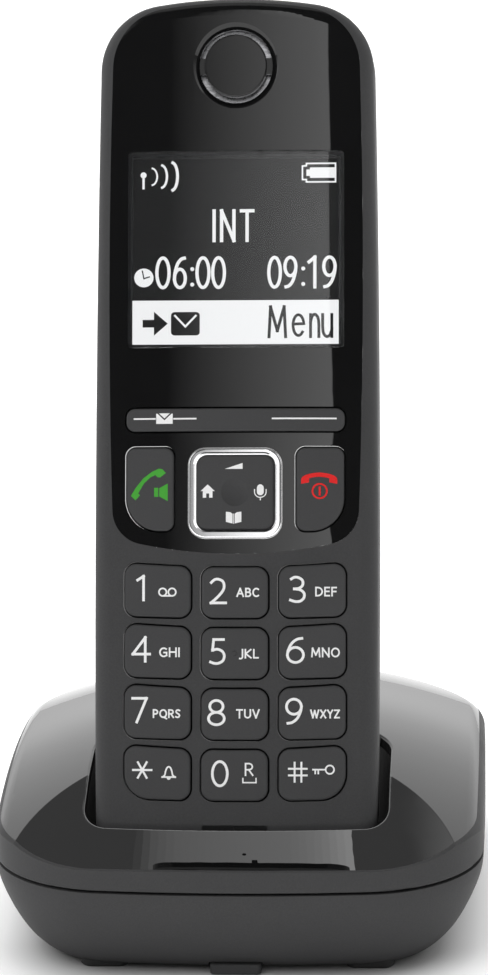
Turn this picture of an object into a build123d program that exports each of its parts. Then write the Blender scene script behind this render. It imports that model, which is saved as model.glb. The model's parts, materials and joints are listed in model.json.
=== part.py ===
from build123d import *
import os
from math import cos, radians, sin, sqrt

os.makedirs("parts", exist_ok=True)

# A cordless phone standing in its charging base. Millimetres, +Z up, the keypad faces -Y.
# The origin is on the table under the middle of the base.

# Driving dimensions of the handset
LEAN = 18.0  # the docked handset leans back this far
SEAT_Y = -38.77  # front lower corner of the docked handset
SEAT_Z = 12.16
LENGTH = 156.0
HALF_WIDTH = 24.35
SIDE_BOW = 4700.0  # radii along the sides, the top and the lower end
SIDE_BOW_V = 60.0
TOP_BOW = 94.0
FOOT_BOW = 480.0
FACE_CROWN = 180.0  # radius across the face
DEPTH = 25.0  # thickest point, front to back
REAR_CROWN = 70.0  # radius across the back
REAR_BOW = 700.0  # radius along the back
REAR_BOW_V = 85.0
FRONT_ROUND = 3.2
REAR_ROUND = 7.0
WALL = 1.7
PARTING = -9.0  # plane between the two housings
PANEL_SKIN = 0.9
GLASS_SINK = 0.3
GLASS_SKIN = 0.9

# Keypad
KEY_PITCH = 13.2
KEY_WIDTH = 11.35
KEY_ROW_PITCH = 10.36
KEYPAD_TOP = 57.75
KEY_HEIGHT = 8.6
KEY_PROUD = 0.45
KEY_FOOT = -4.4  # underside of every key
KEY_GAP = 0.3
SOFT_KEY_V = 83.0
NAV_V = 70.6
EAR_V = 144.0
WINDOW = (-18.5, 95.5, 18.5, 129.2)
BOARD_TOP = -6.4
BOARD_SKIN = 1.2

# Battery bay
CELL_RADIUS = 5.25
CELL_LENGTH = 44.5
CELL_PITCH = 11.0
CELL_DEPTH = 16.3
CELL_V = 42.0
COVER = (-16.0, 38.0, 16.0, 92.0)
COVER_SKIN = 1.25

# Driving dimensions of the base
BASE_FRONT = -46.0
BASE_REAR = 46.0
BASE_HALF = 42.5
BASE_SIDE_BOW = 1500.0
BASE_FRONT_BOW = 253.0
BASE_REAR_BOW = 350.0
FRONT_CORNER = 21.0
REAR_CORNER = 20.0
SEAM = 17.0
SEAM_GAP = 0.4
CROWN_TOP = 34.8
CROWN_Y = 4.8
CROWN_ACROSS = 124.0
CROWN_ALONG = 155.0
CROWN_SLOPE = 0.28  # the crown runs forward as a straight slope from here on
FLANK_ROUND = 4.0
APRON_Y = 114.0  # the apron in front of the well is part of a flat cone
APRON_RADIUS = 156.0
APRON_SLOPE = 0.381
APRON_EDGE = 22.8
TOP_SKIN = 1.8
HULL = ((17.0, 0.0), (12.5, 0.9), (9.0, 2.4), (5.5, 4.4), (2.5, 7.0), (1.0, 9.0))
HULL_WALL = 2.0
FLOOR_TOP = 3.0
WELL_HALF = 26.0
WELL_FRONT = 0.95
WELL_REAR = -26.2
WELL_CORNER = 6.0
WELL_FRONT_CORNER = 4.6
CRADLE_WALL = 1.2
BASE_BOARD = 15.3
SOCKET_X = (-13.0, 13.0)
FOOT_PLACES = ((-22.8, -32.0), (22.8, -32.0), (-25.0, 31.0), (25.0, 31.0))
BASE_SCREW_PLACES = ((-30.8, -7.0), (30.8, -7.0), (-30.8, 16.0), (30.8, 16.0))
PIN_X = (-9.0, 9.0)
PIN_DEPTH = 12.5
PIN_PLACES = [(x, PIN_DEPTH) for x in PIN_X]
SWITCH_Y = -28.5

lean_sin = sin(radians(LEAN))
lean_cos = cos(radians(LEAN))
# Local x runs right, y runs up along the handset, z comes out of its face.
face = Plane(origin=(0, SEAT_Y, SEAT_Z), x_dir=(1, 0, 0), z_dir=(0, -lean_cos, lean_sin))
out_axis = Axis(origin=face.origin, direction=face.z_dir)
up_axis = Axis(origin=face.origin, direction=face.y_dir)
# Local x runs right, y runs into the handset, z runs up along it.
across = Plane(origin=(0, SEAT_Y, SEAT_Z), x_dir=(1, 0, 0), z_dir=(0, lean_sin, lean_cos))


# ---------------------------------------------------------------- handset helpers

def box_outline(plane, box, corner=0.0, grow=0.0):
    """Rectangle from its low and high corners, with rounded corners."""
    left, low, right, high = box
    width = right - left + 2 * grow
    height = high - low + 2 * grow
    with BuildSketch(plane) as outline:
        with Locations(((left + right) / 2, (low + high) / 2)):
            if corner > 0:
                RectangleRounded(width, height, corner)
            else:
                Rectangle(width, height)
    return outline.sketch


def disc_outline(plane, places, radius):
    """Equal discs at several places."""
    with BuildSketch(plane) as outline:
        with Locations(*places):
            Circle(radius)
    return outline.sketch


def bowed_outline(plane, discs, low_corner, high_corner):
    """Overlap of large discs, each given as x, y and radius, with its corners rounded."""
    with BuildSketch(plane) as outline:
        Rectangle(400, 400)
        for x, y, radius in discs:
            with Locations((x, y)):
                Circle(radius, mode=Mode.INTERSECT)
        fillet(outline.vertices().sort_by(Axis.Y)[-2:], radius=high_corner)
        if low_corner > 0:
            fillet(outline.vertices().sort_by(Axis.Y)[:2], radius=low_corner)
    return outline.sketch


def handset_outline(level, inset=0.0):
    """The handset seen on its face: slightly barrelled sides and a domed top."""
    side = SIDE_BOW - HALF_WIDTH
    discs = [
        (side, SIDE_BOW_V, SIDE_BOW - inset),
        (-side, SIDE_BOW_V, SIDE_BOW - inset),
        (0, LENGTH - TOP_BOW, TOP_BOW - inset),
        (0, FOOT_BOW, FOOT_BOW - inset),
    ]
    return bowed_outline(face.offset(level), discs, 7.0 - inset, 11.5 - inset)


def crown_block(lift=0.0):
    """Everything behind the crowned face, with the face moved out by a lift."""
    radius = FACE_CROWN + lift
    reach = 30.0
    drop = radius - sqrt(radius * radius - reach * reach) - lift
    with BuildSketch(across.offset(-20)) as section:
        with BuildLine():
            ThreePointArc((-reach, drop), (0, -lift), (reach, drop))
            Polyline((reach, drop), (reach, 45), (-reach, 45), (-reach, drop))
        make_face()
    return extrude(section.sketch, amount=200, mode=Mode.PRIVATE)


def rear_block(inset=0.0):
    """Everything in front of the doubly curved back, with the back moved in by an inset."""
    swing = 9.0
    reach = 30.0
    hub = face.from_local_coords((0, REAR_BOW_V, REAR_BOW - DEPTH))
    start = Plane(origin=hub, x_dir=across.x_dir, z_dir=across.z_dir).rotated((-swing, 0, 0))
    radius = REAR_CROWN - inset
    apex = REAR_BOW - inset
    edge = apex - radius + sqrt(radius * radius - reach * reach)
    front = REAR_BOW - DEPTH - 6
    with BuildSketch(start) as section:
        with BuildLine():
            ThreePointArc((-reach, edge), (0, apex), (reach, edge))
            Polyline((reach, edge), (reach, front), (-reach, front), (-reach, edge))
        make_face()
    return revolve(section.sketch, Axis(hub, (1, 0, 0)), 2 * swing, mode=Mode.PRIVATE)


def handset_body(inset=0.0):
    """The handset as one solid, every surface moved in by an inset."""
    with BuildPart() as body:
        extrude(handset_outline(8, inset), amount=-45)
        add(crown_block(-inset), mode=Mode.INTERSECT)
        add(rear_block(inset), mode=Mode.INTERSECT)
        fillet(body.faces().sort_by(out_axis)[-1].edges(), radius=FRONT_ROUND - inset)
        fillet(body.faces().sort_by(out_axis)[0].edges(), radius=REAR_ROUND - inset)
    return body.part


def panel_outline(level):
    """The glossy face panel: close to the handset's edge, with a U-shaped lower end."""
    side = 1250.0
    discs = [
        (side - 21.8, 108.0, side),
        (21.8 - side, 108.0, side),
        (0, LENGTH - 1.0 - 87.0, 87.0),
        (0, 60.1 + 80.0, 80.0),
    ]
    return bowed_outline(face.offset(level), discs, 6.0, 10.4)


def number_key_outline(level, column, row, grow=0.0):
    """One number key. Its upper and lower edges follow shallow curves across the keypad."""
    left = column * KEY_PITCH - KEY_WIDTH / 2
    middle = left + KEY_WIDTH / 2
    right = left + KEY_WIDTH
    top = KEYPAD_TOP - row * KEY_ROW_PITCH
    low = top - KEY_HEIGHT
    tops = [(x, top + x * x / 424) for x in (left, middle, right)]
    lows = [(x, low + x * x / 1000) for x in (right, middle, left)]
    with BuildSketch(face.offset(level)) as outline:
        with BuildLine():
            ThreePointArc(*tops)
            Line(tops[2], lows[0])
            ThreePointArc(*lows)
            Line(lows[2], tops[0])
        make_face()
        if row == 3 and column != 0:
            fillet(outline.vertices().sort_by_distance((column * 60, low - 60, 0))[0], radius=4.4)
            fillet(outline.vertices().sort_by_distance((-column * 90, low + 60, 0))[:3], radius=2.0)
        else:
            fillet(outline.vertices(), radius=2.0)
        if grow != 0:
            offset(amount=grow)
    return outline.sketch


def call_key_outline(level, side, grow=0.0):
    """Talk key on the left, end key on the right: the outer lower corner is well rounded."""
    with BuildSketch(face.offset(level)) as outline:
        with Locations((side * 14.55, 71.1)):
            Rectangle(8.1, 14.2)
        fillet(outline.vertices().sort_by_distance((side * 60, 20, 0))[0], radius=5.6)
        fillet(outline.vertices().sort_by_distance((-side * 90, 120, 0))[:3], radius=1.5)
        if grow != 0:
            offset(amount=grow)
    return outline.sketch


# ---------------------------------------------------------------- base helpers

def base_outline(level, inset=0.0, front=BASE_FRONT):
    """The base seen from above: large corners and gently bowed front, sides and rear."""
    discs = [
        (BASE_SIDE_BOW - BASE_HALF, 5, BASE_SIDE_BOW - inset),
        (BASE_HALF - BASE_SIDE_BOW, 5, BASE_SIDE_BOW - inset),
        (0, front + BASE_FRONT_BOW, BASE_FRONT_BOW - inset),
        (0, BASE_REAR - BASE_REAR_BOW, BASE_REAR_BOW - inset),
    ]
    return bowed_outline(Plane.XY.offset(level), discs, FRONT_CORNER - inset, REAR_CORNER - inset)


def flank_outline(level, inset):
    """Like the outline of the base, but running straight on towards the front."""
    discs = [
        (BASE_SIDE_BOW - BASE_HALF, 5, BASE_SIDE_BOW - inset),
        (BASE_HALF - BASE_SIDE_BOW, 5, BASE_SIDE_BOW - inset),
        (0, BASE_REAR - BASE_REAR_BOW, BASE_REAR_BOW - inset),
        (0, 136, 200),
    ]
    return bowed_outline(Plane.XY.offset(level), discs, 0, REAR_CORNER - inset)


def base_crown(lower=0.0):
    """Everything under the crowned top, moved down by an amount."""
    start = CROWN_Y - CROWN_ALONG * CROWN_SLOPE / sqrt(1 + CROWN_SLOPE * CROWN_SLOPE)
    hub = CROWN_TOP - CROWN_ALONG
    start_z = hub + sqrt(CROWN_ALONG * CROWN_ALONG - (start - CROWN_Y) * (start - CROWN_Y))
    end_z = hub + sqrt(CROWN_ALONG * CROWN_ALONG - (58 - CROWN_Y) * (58 - CROWN_Y))
    middle_z = hub + sqrt(CROWN_ALONG * CROWN_ALONG - (20 - CROWN_Y) * (20 - CROWN_Y))
    front_z = start_z - CROWN_SLOPE * (start + 70)
    swing = 26.0
    axle = Vector(0, 0, CROWN_TOP - CROWN_ACROSS - lower)
    start_plane = Plane(axle, x_dir=(0, 1, 0), z_dir=(cos(radians(swing)), 0, sin(radians(swing))))
    rise = CROWN_ACROSS - CROWN_TOP
    with BuildSketch(start_plane) as profile:
        with BuildLine():
            Line((-70, front_z + rise), (start, start_z + rise))
            ThreePointArc((start, start_z + rise), (20, middle_z + rise), (58, end_z + rise))
            Polyline((58, end_z + rise), (58, 70), (-70, 70), (-70, front_z + rise))
        make_face()
    return revolve(profile.sketch, Axis(axle, (0, 1, 0)), 2 * swing, mode=Mode.PRIVATE)


def apron_cone(lower=0.0):
    """Everything under the flat cone whose front part is the apron."""
    peak = APRON_EDGE + APRON_SLOPE * APRON_RADIUS
    reach = 180.0
    centre = Plane(origin=(0, APRON_Y, -lower), x_dir=(1, 0, 0), z_dir=(0, -1, 0))
    with BuildSketch(centre) as profile:
        with BuildLine():
            Polyline((0, -30), (reach, -30), (reach, peak - APRON_SLOPE * reach), (0, peak), (0, -30))
        make_face()
    return revolve(profile.sketch, Axis((0, APRON_Y, 0), (0, 0, 1)), 360, mode=Mode.PRIVATE)


def base_top(inset=0.0, lower=0.0, round_over=FLANK_ROUND):
    """Upper half of the base as one solid, from its seam to the crowned top."""
    with BuildPart() as top:
        extrude(flank_outline(SEAM + SEAM_GAP - 8, inset), amount=50)
        add(base_crown(lower), mode=Mode.INTERSECT)
        rim = []
        for wall in top.faces():
            if abs(wall.normal_at().Z) < 0.05 and wall.center().Y > -55:
                rim += [edge for edge in wall.edges() if (edge @ 0.5).Z > 11.4 and abs((edge % 0.5).Z) < 0.9]
        fillet(rim, radius=round_over)
        add(apron_cone(lower), mode=Mode.INTERSECT)
        add(extrude(base_outline(SEAM + SEAM_GAP, inset), amount=40, mode=Mode.PRIVATE), mode=Mode.INTERSECT)
    return top.part


def hull(extra=0.0, floor=0.0):
    """Lower half of the base: a boat-shaped loft through outlines that shrink downwards."""
    levels = [(max(level, floor), inset + extra) for level, inset in HULL]
    return loft([base_outline(level, inset) for level, inset in levels], mode=Mode.PRIVATE)


def well_outline(level, grow=0.0):
    """Cross-section of the well: its front wall follows the crowned face of the handset."""
    with BuildSketch(across.offset(level)) as outline:
        with Locations((0, (WELL_FRONT - WELL_REAR) / 2 - WELL_FRONT)):
            Rectangle(2 * (WELL_HALF + grow), WELL_FRONT - WELL_REAR + 2 * grow)
        with Locations((0, FACE_CROWN)):
            Circle(FACE_CROWN + WELL_FRONT + grow, mode=Mode.INTERSECT)
        fillet(outline.vertices().sort_by(Axis.Y)[-2:], radius=WELL_CORNER + grow)
        fillet(outline.vertices().sort_by(Axis.Y)[:2], radius=WELL_FRONT_CORNER + grow)
    return outline.sketch


# ---------------------------------------------------------------- handset places and common solids

# Places in the handset's own frame: left, low, right, high
SOFT_KEY = (-18.7, SOFT_KEY_V - 1.95, 18.7, SOFT_KEY_V + 1.95)
NAV_KEY = (-6.6, NAV_V - 6.3, 6.6, NAV_V + 6.3)
NAV_RING = (-8.0, NAV_V - 7.9, 8.0, NAV_V + 7.55)
CALL_KEYS = {"talk_key": -1, "end_key": 1}
DIGIT_KEYS = {
    "key_1": (-1, 0),
    "key_2": (0, 0),
    "key_3": (1, 0),
    "key_4": (-1, 1),
    "key_5": (0, 1),
    "key_6": (1, 1),
    "key_7": (-1, 2),
    "key_8": (0, 2),
    "key_9": (1, 2),
    "key_star": (-1, 3),
    "key_0": (0, 3),
    "key_hash": (1, 3),
}
DIGIT_CENTRES = [
    (column * KEY_PITCH, KEYPAD_TOP - row * KEY_ROW_PITCH - KEY_HEIGHT / 2)
    for column, row in DIGIT_KEYS.values()
]
NAV_PADS = [(0, NAV_V), (-4.6, NAV_V), (4.6, NAV_V), (0, NAV_V - 4.4), (0, NAV_V + 4.4)]
PAD_PLACES = DIGIT_CENTRES + NAV_PADS + [(-14.5, 71), (14.5, 71), (-15, SOFT_KEY_V), (15, SOFT_KEY_V)]
SCREW_PLACES = ((-18.6, 9.5), (18.6, 9.5), (-17.5, 137.0), (17.5, 137.0))

outer_body = handset_body(0.0)
inner_body = handset_body(WALL)
panel_bed = handset_body(PANEL_SKIN)
cover_bed = handset_body(COVER_SKIN + 0.1)
parting_slab = extrude(handset_outline(PARTING, -2), amount=-1.2)
rebate_slab = extrude(handset_outline(PARTING, -2), amount=-1.35)
tongue = (handset_body(0.95) & parting_slab) - inner_body
rebate = (handset_body(0.85) & rebate_slab) - inner_body
groove = extrude(handset_outline(PARTING - 0.15, -1), amount=0.3) - handset_body(0.4)


# ---------------------------------------------------------------- handset, front to back

with BuildPart() as handset_front_housing:
    add(outer_body)
    split(bisect_by=face.offset(PARTING), keep=Keep.TOP)
    add(inner_body, mode=Mode.SUBTRACT)
    add(tongue)
    # Screw bosses
    extrude(disc_outline(face.offset(-1.7), SCREW_PLACES, 2.3), amount=-7.2)
    extrude(disc_outline(face.offset(-9), SCREW_PLACES, 1.02), amount=5.4, mode=Mode.SUBTRACT)
    # Bed for the face panel
    add(extrude(panel_outline(-6), amount=10, mode=Mode.PRIVATE) - panel_bed, mode=Mode.SUBTRACT)
    # Display opening, with a step that carries the window
    step = extrude(box_outline(face.offset(-6), WINDOW, 0.7, 0.1), amount=10, mode=Mode.PRIVATE)
    add(step - crown_block(-GLASS_SINK - GLASS_SKIN), mode=Mode.SUBTRACT)
    extrude(box_outline(face.offset(-6), WINDOW, 0.5, -0.5), amount=10, mode=Mode.SUBTRACT)
    # Openings for the keys, the earpiece and the microphone
    extrude(box_outline(face.offset(-6), SOFT_KEY, 1.8, KEY_GAP), amount=10, mode=Mode.SUBTRACT)
    extrude(box_outline(face.offset(-6), NAV_RING, 2.95, 0.05), amount=10, mode=Mode.SUBTRACT)
    for side in CALL_KEYS.values():
        extrude(call_key_outline(-6, side, KEY_GAP), amount=10, mode=Mode.SUBTRACT)
    for column, row in DIGIT_KEYS.values():
        extrude(number_key_outline(-6, column, row, KEY_GAP), amount=10, mode=Mode.SUBTRACT)
    extrude(disc_outline(face.offset(-6), [(0, EAR_V)], 7.0), amount=10, mode=Mode.SUBTRACT)
    extrude(box_outline(face.offset(-6), (-5.6, 12.8, 5.6, 13.9), 0.4), amount=10, mode=Mode.SUBTRACT)
    add(groove, mode=Mode.SUBTRACT)
handset_front_housing.part.label = "handset_front_housing"
export_step(handset_front_housing.part, "parts/handset_front_housing.step")

with BuildPart() as face_panel:
    extrude(panel_outline(-6), amount=10)
    add(outer_body, mode=Mode.INTERSECT)
    add(panel_bed, mode=Mode.SUBTRACT)
    extrude(box_outline(face.offset(-6), WINDOW, 0.7, 0.1), amount=10, mode=Mode.SUBTRACT)
    extrude(box_outline(face.offset(-6), SOFT_KEY, 1.8, KEY_GAP), amount=10, mode=Mode.SUBTRACT)
    extrude(box_outline(face.offset(-6), NAV_RING, 2.95, 0.05), amount=10, mode=Mode.SUBTRACT)
    for side in CALL_KEYS.values():
        extrude(call_key_outline(-6, side, KEY_GAP), amount=10, mode=Mode.SUBTRACT)
    # Dished ring around the earpiece
    extrude(disc_outline(face.offset(-1.3), [(0, EAR_V)], 5.97), amount=1.4, taper=-49, mode=Mode.SUBTRACT)
face_panel.part.label = "face_panel"
export_step(face_panel.part, "parts/face_panel.step")

with BuildPart() as display_window:
    extrude(box_outline(face.offset(-6), WINDOW, 0.6), amount=10)
    add(crown_block(-GLASS_SINK), mode=Mode.INTERSECT)
    add(crown_block(-GLASS_SINK - GLASS_SKIN), mode=Mode.SUBTRACT)
display_window.part.label = "display_window"
export_step(display_window.part, "parts/display_window.step")

with BuildPart() as display_panel:
    extrude(box_outline(face.offset(-4.4), (-18.2, 95.2, 18.2, 129.8)), amount=1.55)
display_panel.part.label = "display_panel"
export_step(display_panel.part, "parts/display_panel.step")

with BuildPart() as display_frame:
    extrude(box_outline(face.offset(-6.35), (-19.4, 93.4, 19.4, 131.6), 0.8), amount=3.35)
    extrude(box_outline(face.offset(-4.4), (-18.25, 95.15, 18.25, 129.85)), amount=3, mode=Mode.SUBTRACT)
display_frame.part.label = "display_frame"
export_step(display_frame.part, "parts/display_frame.step")

with BuildPart() as earpiece_disc:
    extrude(disc_outline(face.offset(-1.9), [(0, EAR_V)], 5.4), amount=3)
    add(crown_block(-0.06), mode=Mode.INTERSECT)
    fillet(earpiece_disc.faces().sort_by(out_axis)[-1].edges(), radius=0.25)
    # Two bridges carry the disc in its ring
    extrude(box_outline(face.offset(-1.9), (-6.8, EAR_V - 1.4, 6.8, EAR_V + 1.4)), amount=0.75)
    extrude(disc_outline(face.offset(-3.0), [(0, EAR_V)], 6.95), amount=1.2)
    extrude(disc_outline(face.offset(-3.1), [(0, EAR_V)], 6.45), amount=1.3, mode=Mode.SUBTRACT)
earpiece_disc.part.label = "earpiece_disc"
export_step(earpiece_disc.part, "parts/earpiece_disc.step")

with BuildPart() as earpiece_speaker:
    extrude(disc_outline(face.offset(-6.2), [(0, EAR_V)], 7.6), amount=3.0)
    extrude(disc_outline(face.offset(-3.7), [(0, EAR_V)], 6.6), amount=1.0, mode=Mode.SUBTRACT)
    extrude(disc_outline(face.offset(-3.7), [(0, EAR_V)], 3.0), amount=0.4)
earpiece_speaker.part.label = "earpiece_speaker"
export_step(earpiece_speaker.part, "parts/earpiece_speaker.step")

with BuildPart() as nav_ring:
    extrude(box_outline(face.offset(-2.6), NAV_RING, 2.9), amount=5)
    add(crown_block(0.5), mode=Mode.INTERSECT)
    fillet(nav_ring.faces().sort_by(out_axis)[-1].edges(), radius=0.4)
    # Flange behind the front housing
    extrude(box_outline(face.offset(-2.9), NAV_RING, 3.4, 0.7), amount=0.9)
    extrude(box_outline(face.offset(-4), NAV_KEY, 2.0, 0.3), amount=8, mode=Mode.SUBTRACT)
    chamfer(nav_ring.faces().sort_by(out_axis)[-1].edges().sort_by(SortBy.LENGTH)[:8], length=0.25)
nav_ring.part.label = "nav_ring"
export_step(nav_ring.part, "parts/nav_ring.step")

with BuildPart() as nav_key:
    extrude(box_outline(face.offset(-3.8), NAV_KEY, 1.7), amount=6)
    add(crown_block(0.35), mode=Mode.INTERSECT)
    fillet(nav_key.faces().sort_by(out_axis)[-1].edges(), radius=0.4)
    # Finger dimple in the middle
    dimple = Location(face.from_local_coords((0, NAV_V, 3.55))) * Sphere(4.0, mode=Mode.PRIVATE)
    add(dimple, mode=Mode.SUBTRACT)
    extrude(box_outline(face.offset(-3.8), NAV_KEY, 2.2, 0.9), amount=0.45)
    extrude(disc_outline(face.offset(-3.92), [(0, NAV_V)], 1.5), amount=0.3)
nav_key.part.label = "nav_key"
export_step(nav_key.part, "parts/nav_key.step")

with BuildPart() as nav_pivot:
    extrude(box_outline(face.offset(-4.6), (-4.4, NAV_V - 1.4, 4.4, NAV_V + 1.4), 0.6), amount=0.5)
    extrude(box_outline(face.offset(-4.6), (-1.4, NAV_V - 4.4, 1.4, NAV_V + 4.4), 0.6), amount=0.5)
nav_pivot.part.label = "nav_pivot"
export_step(nav_pivot.part, "parts/nav_pivot.step")

with BuildPart() as soft_key_bar:
    extrude(box_outline(face.offset(-3.6), SOFT_KEY, 1.5), amount=6)
    add(crown_block(0.35), mode=Mode.INTERSECT)
    fillet(soft_key_bar.faces().sort_by(out_axis)[-1].edges(), radius=0.35)
    # Foot behind the housing, with the ridge that the bar rocks on
    extrude(box_outline(face.offset(-4.2), SOFT_KEY, 1.8, 0.8), amount=0.6)
    extrude(box_outline(face.offset(-4.9), (-0.6, SOFT_KEY_V - 2, 0.6, SOFT_KEY_V + 2)), amount=0.7)
soft_key_bar.part.label = "soft_key_bar"
export_step(soft_key_bar.part, "parts/soft_key_bar.step")

for name, side in CALL_KEYS.items():
    with BuildPart() as call_key:
        extrude(call_key_outline(KEY_FOOT, side), amount=6)
        add(crown_block(KEY_PROUD), mode=Mode.INTERSECT)
        fillet(call_key.faces().sort_by(out_axis)[-1].edges(), radius=0.4)
        extrude(call_key_outline(KEY_FOOT, side, 0.75), amount=0.45)
    call_key.part.label = name
    export_step(call_key.part, f"parts/{name}.step")

for name, (column, row) in DIGIT_KEYS.items():
    with BuildPart() as digit_key:
        extrude(number_key_outline(KEY_FOOT, column, row), amount=6)
        add(crown_block(KEY_PROUD), mode=Mode.INTERSECT)
        fillet(digit_key.faces().sort_by(out_axis)[-1].edges(), radius=0.4)
        extrude(number_key_outline(KEY_FOOT, column, row, 0.5), amount=0.45)
    digit_key.part.label = name
    export_step(digit_key.part, f"parts/{name}.step")

with BuildPart() as keypad_mat:
    extrude(box_outline(face.offset(-5.45), (-20.2, 15.0, 20.2, 88.5), 3.0), amount=0.5)
    extrude(disc_outline(face.offset(-5.9), PAD_PLACES, 1.3), amount=0.5)
keypad_mat.part.label = "keypad_mat"
export_step(keypad_mat.part, "parts/keypad_mat.step")

with BuildPart() as key_domes:
    extrude(disc_outline(face.offset(BOARD_TOP), PAD_PLACES, 2.1), amount=0.4)
    fillet(key_domes.edges().group_by(out_axis)[-1], radius=0.35)
key_domes.part.label = "key_domes"
export_step(key_domes.part, "parts/key_domes.step")

with BuildPart() as handset_circuit_board:
    extrude(handset_outline(BOARD_TOP, 2.6), amount=-BOARD_SKIN)
    extrude(disc_outline(face.offset(-9), SCREW_PLACES, 2.6), amount=5, mode=Mode.SUBTRACT)
handset_circuit_board.part.label = "handset_circuit_board"
export_step(handset_circuit_board.part, "parts/handset_circuit_board.step")

with BuildPart() as microphone:
    extrude(box_outline(face.offset(BOARD_TOP), (-6.4, 6.8, 6.4, 14.6), 1.5), amount=1.9)
    extrude(disc_outline(face.offset(-4.8), [(0, 13.3)], 0.5), amount=0.5, mode=Mode.SUBTRACT)
microphone.part.label = "microphone"
export_step(microphone.part, "parts/microphone.step")

with BuildPart() as handset_components:
    back = face.offset(BOARD_TOP - BOARD_SKIN)
    extrude(box_outline(back, (-13, 99, 13, 121), 1.0), amount=-1.9)
    extrude(box_outline(back, (-6, 56, 6, 68)), amount=-1.1)
    extrude(box_outline(back, (-9, 74, -1, 79)), amount=-1.4)
    extrude(box_outline(back, (4, 73, 9, 78)), amount=-1.0)
    extrude(box_outline(back, (-15, 18, -7, 28)), amount=-1.6)
    extrude(box_outline(back, (6, 18, 13, 25)), amount=-1.2)
    extrude(disc_outline(back, [(0, 30), (-16, 128), (16, 128)], 2.6), amount=-1.8)
handset_components.part.label = "handset_components"
export_step(handset_components.part, "parts/handset_components.step")

with BuildPart() as handset_antenna:
    extrude(box_outline(face.offset(-9.0), (-13, 145.5, 13, 149.5), 1.0), amount=-0.3)
    extrude(box_outline(face.offset(-7.6), (-12, 146, -11, 148)), amount=-1.4)
    extrude(box_outline(face.offset(-7.6), (4, 146, 5, 148)), amount=-1.4)
handset_antenna.part.label = "handset_antenna"
export_step(handset_antenna.part, "parts/handset_antenna.step")

with BuildPart() as loudspeaker:
    extrude(disc_outline(face.offset(-16.5), [(0, 118)], 9.0), amount=-4.6)
    extrude(disc_outline(face.offset(-20.6), [(0, 118)], 7.9), amount=-1.0, mode=Mode.SUBTRACT)
    extrude(disc_outline(face.offset(-20.6), [(0, 118)], 3.5), amount=-0.4)
    extrude(disc_outline(face.offset(-16.5), [(0, 118)], 6.0), amount=1.6)
loudspeaker.part.label = "loudspeaker"
export_step(loudspeaker.part, "parts/loudspeaker.step")

with BuildPart() as handset_rear_housing:
    add(outer_body)
    split(bisect_by=face.offset(PARTING), keep=Keep.BOTTOM)
    # The hollow leaves a thick ledge around the battery cover, the tub that holds the cells,
    # the ring of the loudspeaker and the screw columns
    ledge = extrude(box_outline(face.offset(-12), COVER, 4, 1.4), amount=-16, mode=Mode.PRIVATE)
    ledge -= handset_body(COVER_SKIN + 1.6)
    tub_box = (-12.3, 39.1, 12.3, 89.9)
    tub = extrude(box_outline(face.offset(-9.9), tub_box, 1.5), amount=-18, mode=Mode.PRIVATE)
    ring = extrude(disc_outline(face.offset(-18), [(0, 118)], 10.3), amount=-8, mode=Mode.PRIVATE)
    ring -= extrude(disc_outline(face.offset(-18), [(0, 118)], 9.15), amount=-8, mode=Mode.PRIVATE)
    columns = extrude(disc_outline(face.offset(PARTING), SCREW_PLACES, 3.2), amount=-16, mode=Mode.PRIVATE)
    add(inner_body - ledge - tub - ring - columns, mode=Mode.SUBTRACT)
    # Bed of the battery cover and the open tub behind it
    pocket = extrude(box_outline(face.offset(-12), COVER, 3), amount=-16, mode=Mode.PRIVATE)
    add(pocket - cover_bed, mode=Mode.SUBTRACT)
    extrude(box_outline(face.offset(-10.9), (-11.2, 40.2, 11.2, 88.8), 0.8), amount=-18, mode=Mode.SUBTRACT)
    # Slots in front of the loudspeaker
    for slot in range(5):
        low = 112.4 + 2.6 * slot
        reach = 6.0 if slot in (1, 2, 3) else 4.4
        slot_box = (-reach, low, reach, low + 1.2)
        extrude(box_outline(face.offset(-19), slot_box, 0.59), amount=-8, mode=Mode.SUBTRACT)
    # Screw holes and their counterbores
    extrude(disc_outline(face.offset(-8), SCREW_PLACES, 1.15), amount=-6, mode=Mode.SUBTRACT)
    extrude(disc_outline(face.offset(-12), SCREW_PLACES, 2.3), amount=-14, mode=Mode.SUBTRACT)
    # Windows for the charging contacts in the lower end
    for side in PIN_X:
        window = (side - 2, 11.0, side + 2, 14.0)
        extrude(box_outline(across.offset(-1), window, 0.5), amount=4, mode=Mode.SUBTRACT)
    add(rebate, mode=Mode.SUBTRACT)
    add(groove, mode=Mode.SUBTRACT)
handset_rear_housing.part.label = "handset_rear_housing"
export_step(handset_rear_housing.part, "parts/handset_rear_housing.step")

with BuildPart() as battery_cover:
    extrude(box_outline(face.offset(-12), COVER, 2.9, -0.12), amount=-16)
    add(outer_body, mode=Mode.INTERSECT)
    add(handset_body(COVER_SKIN), mode=Mode.SUBTRACT)
    # Thumb ridges near the upper end
    for low in (82.0, 84.2, 86.4):
        ridge_box = (-6, low, 6, low + 0.9)
        ridge = extrude(box_outline(face.offset(-22), ridge_box, 0.4), amount=-5, mode=Mode.PRIVATE)
        add((ridge & rear_block(-0.35)) - rear_block(0.6))
battery_cover.part.label = "battery_cover"
export_step(battery_cover.part, "parts/battery_cover.step")

for name, side, foot in (("battery_cell_left", -1, 0), ("battery_cell_right", 1, 1)):
    with BuildPart() as cell:
        places = [(side * CELL_PITCH / 2, CELL_DEPTH)]
        can_foot = across.offset(CELL_V + 0.8 * foot)
        extrude(disc_outline(can_foot, places, CELL_RADIUS), amount=CELL_LENGTH - 0.8)
        fillet(cell.edges().filter_by(GeomType.CIRCLE), radius=0.5)
        tip = CELL_V if foot else CELL_V + CELL_LENGTH - 1.3
        extrude(disc_outline(across.offset(tip), places, 1.9), amount=1.3)
    cell.part.label = name
    export_step(cell.part, f"parts/{name}.step")

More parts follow.
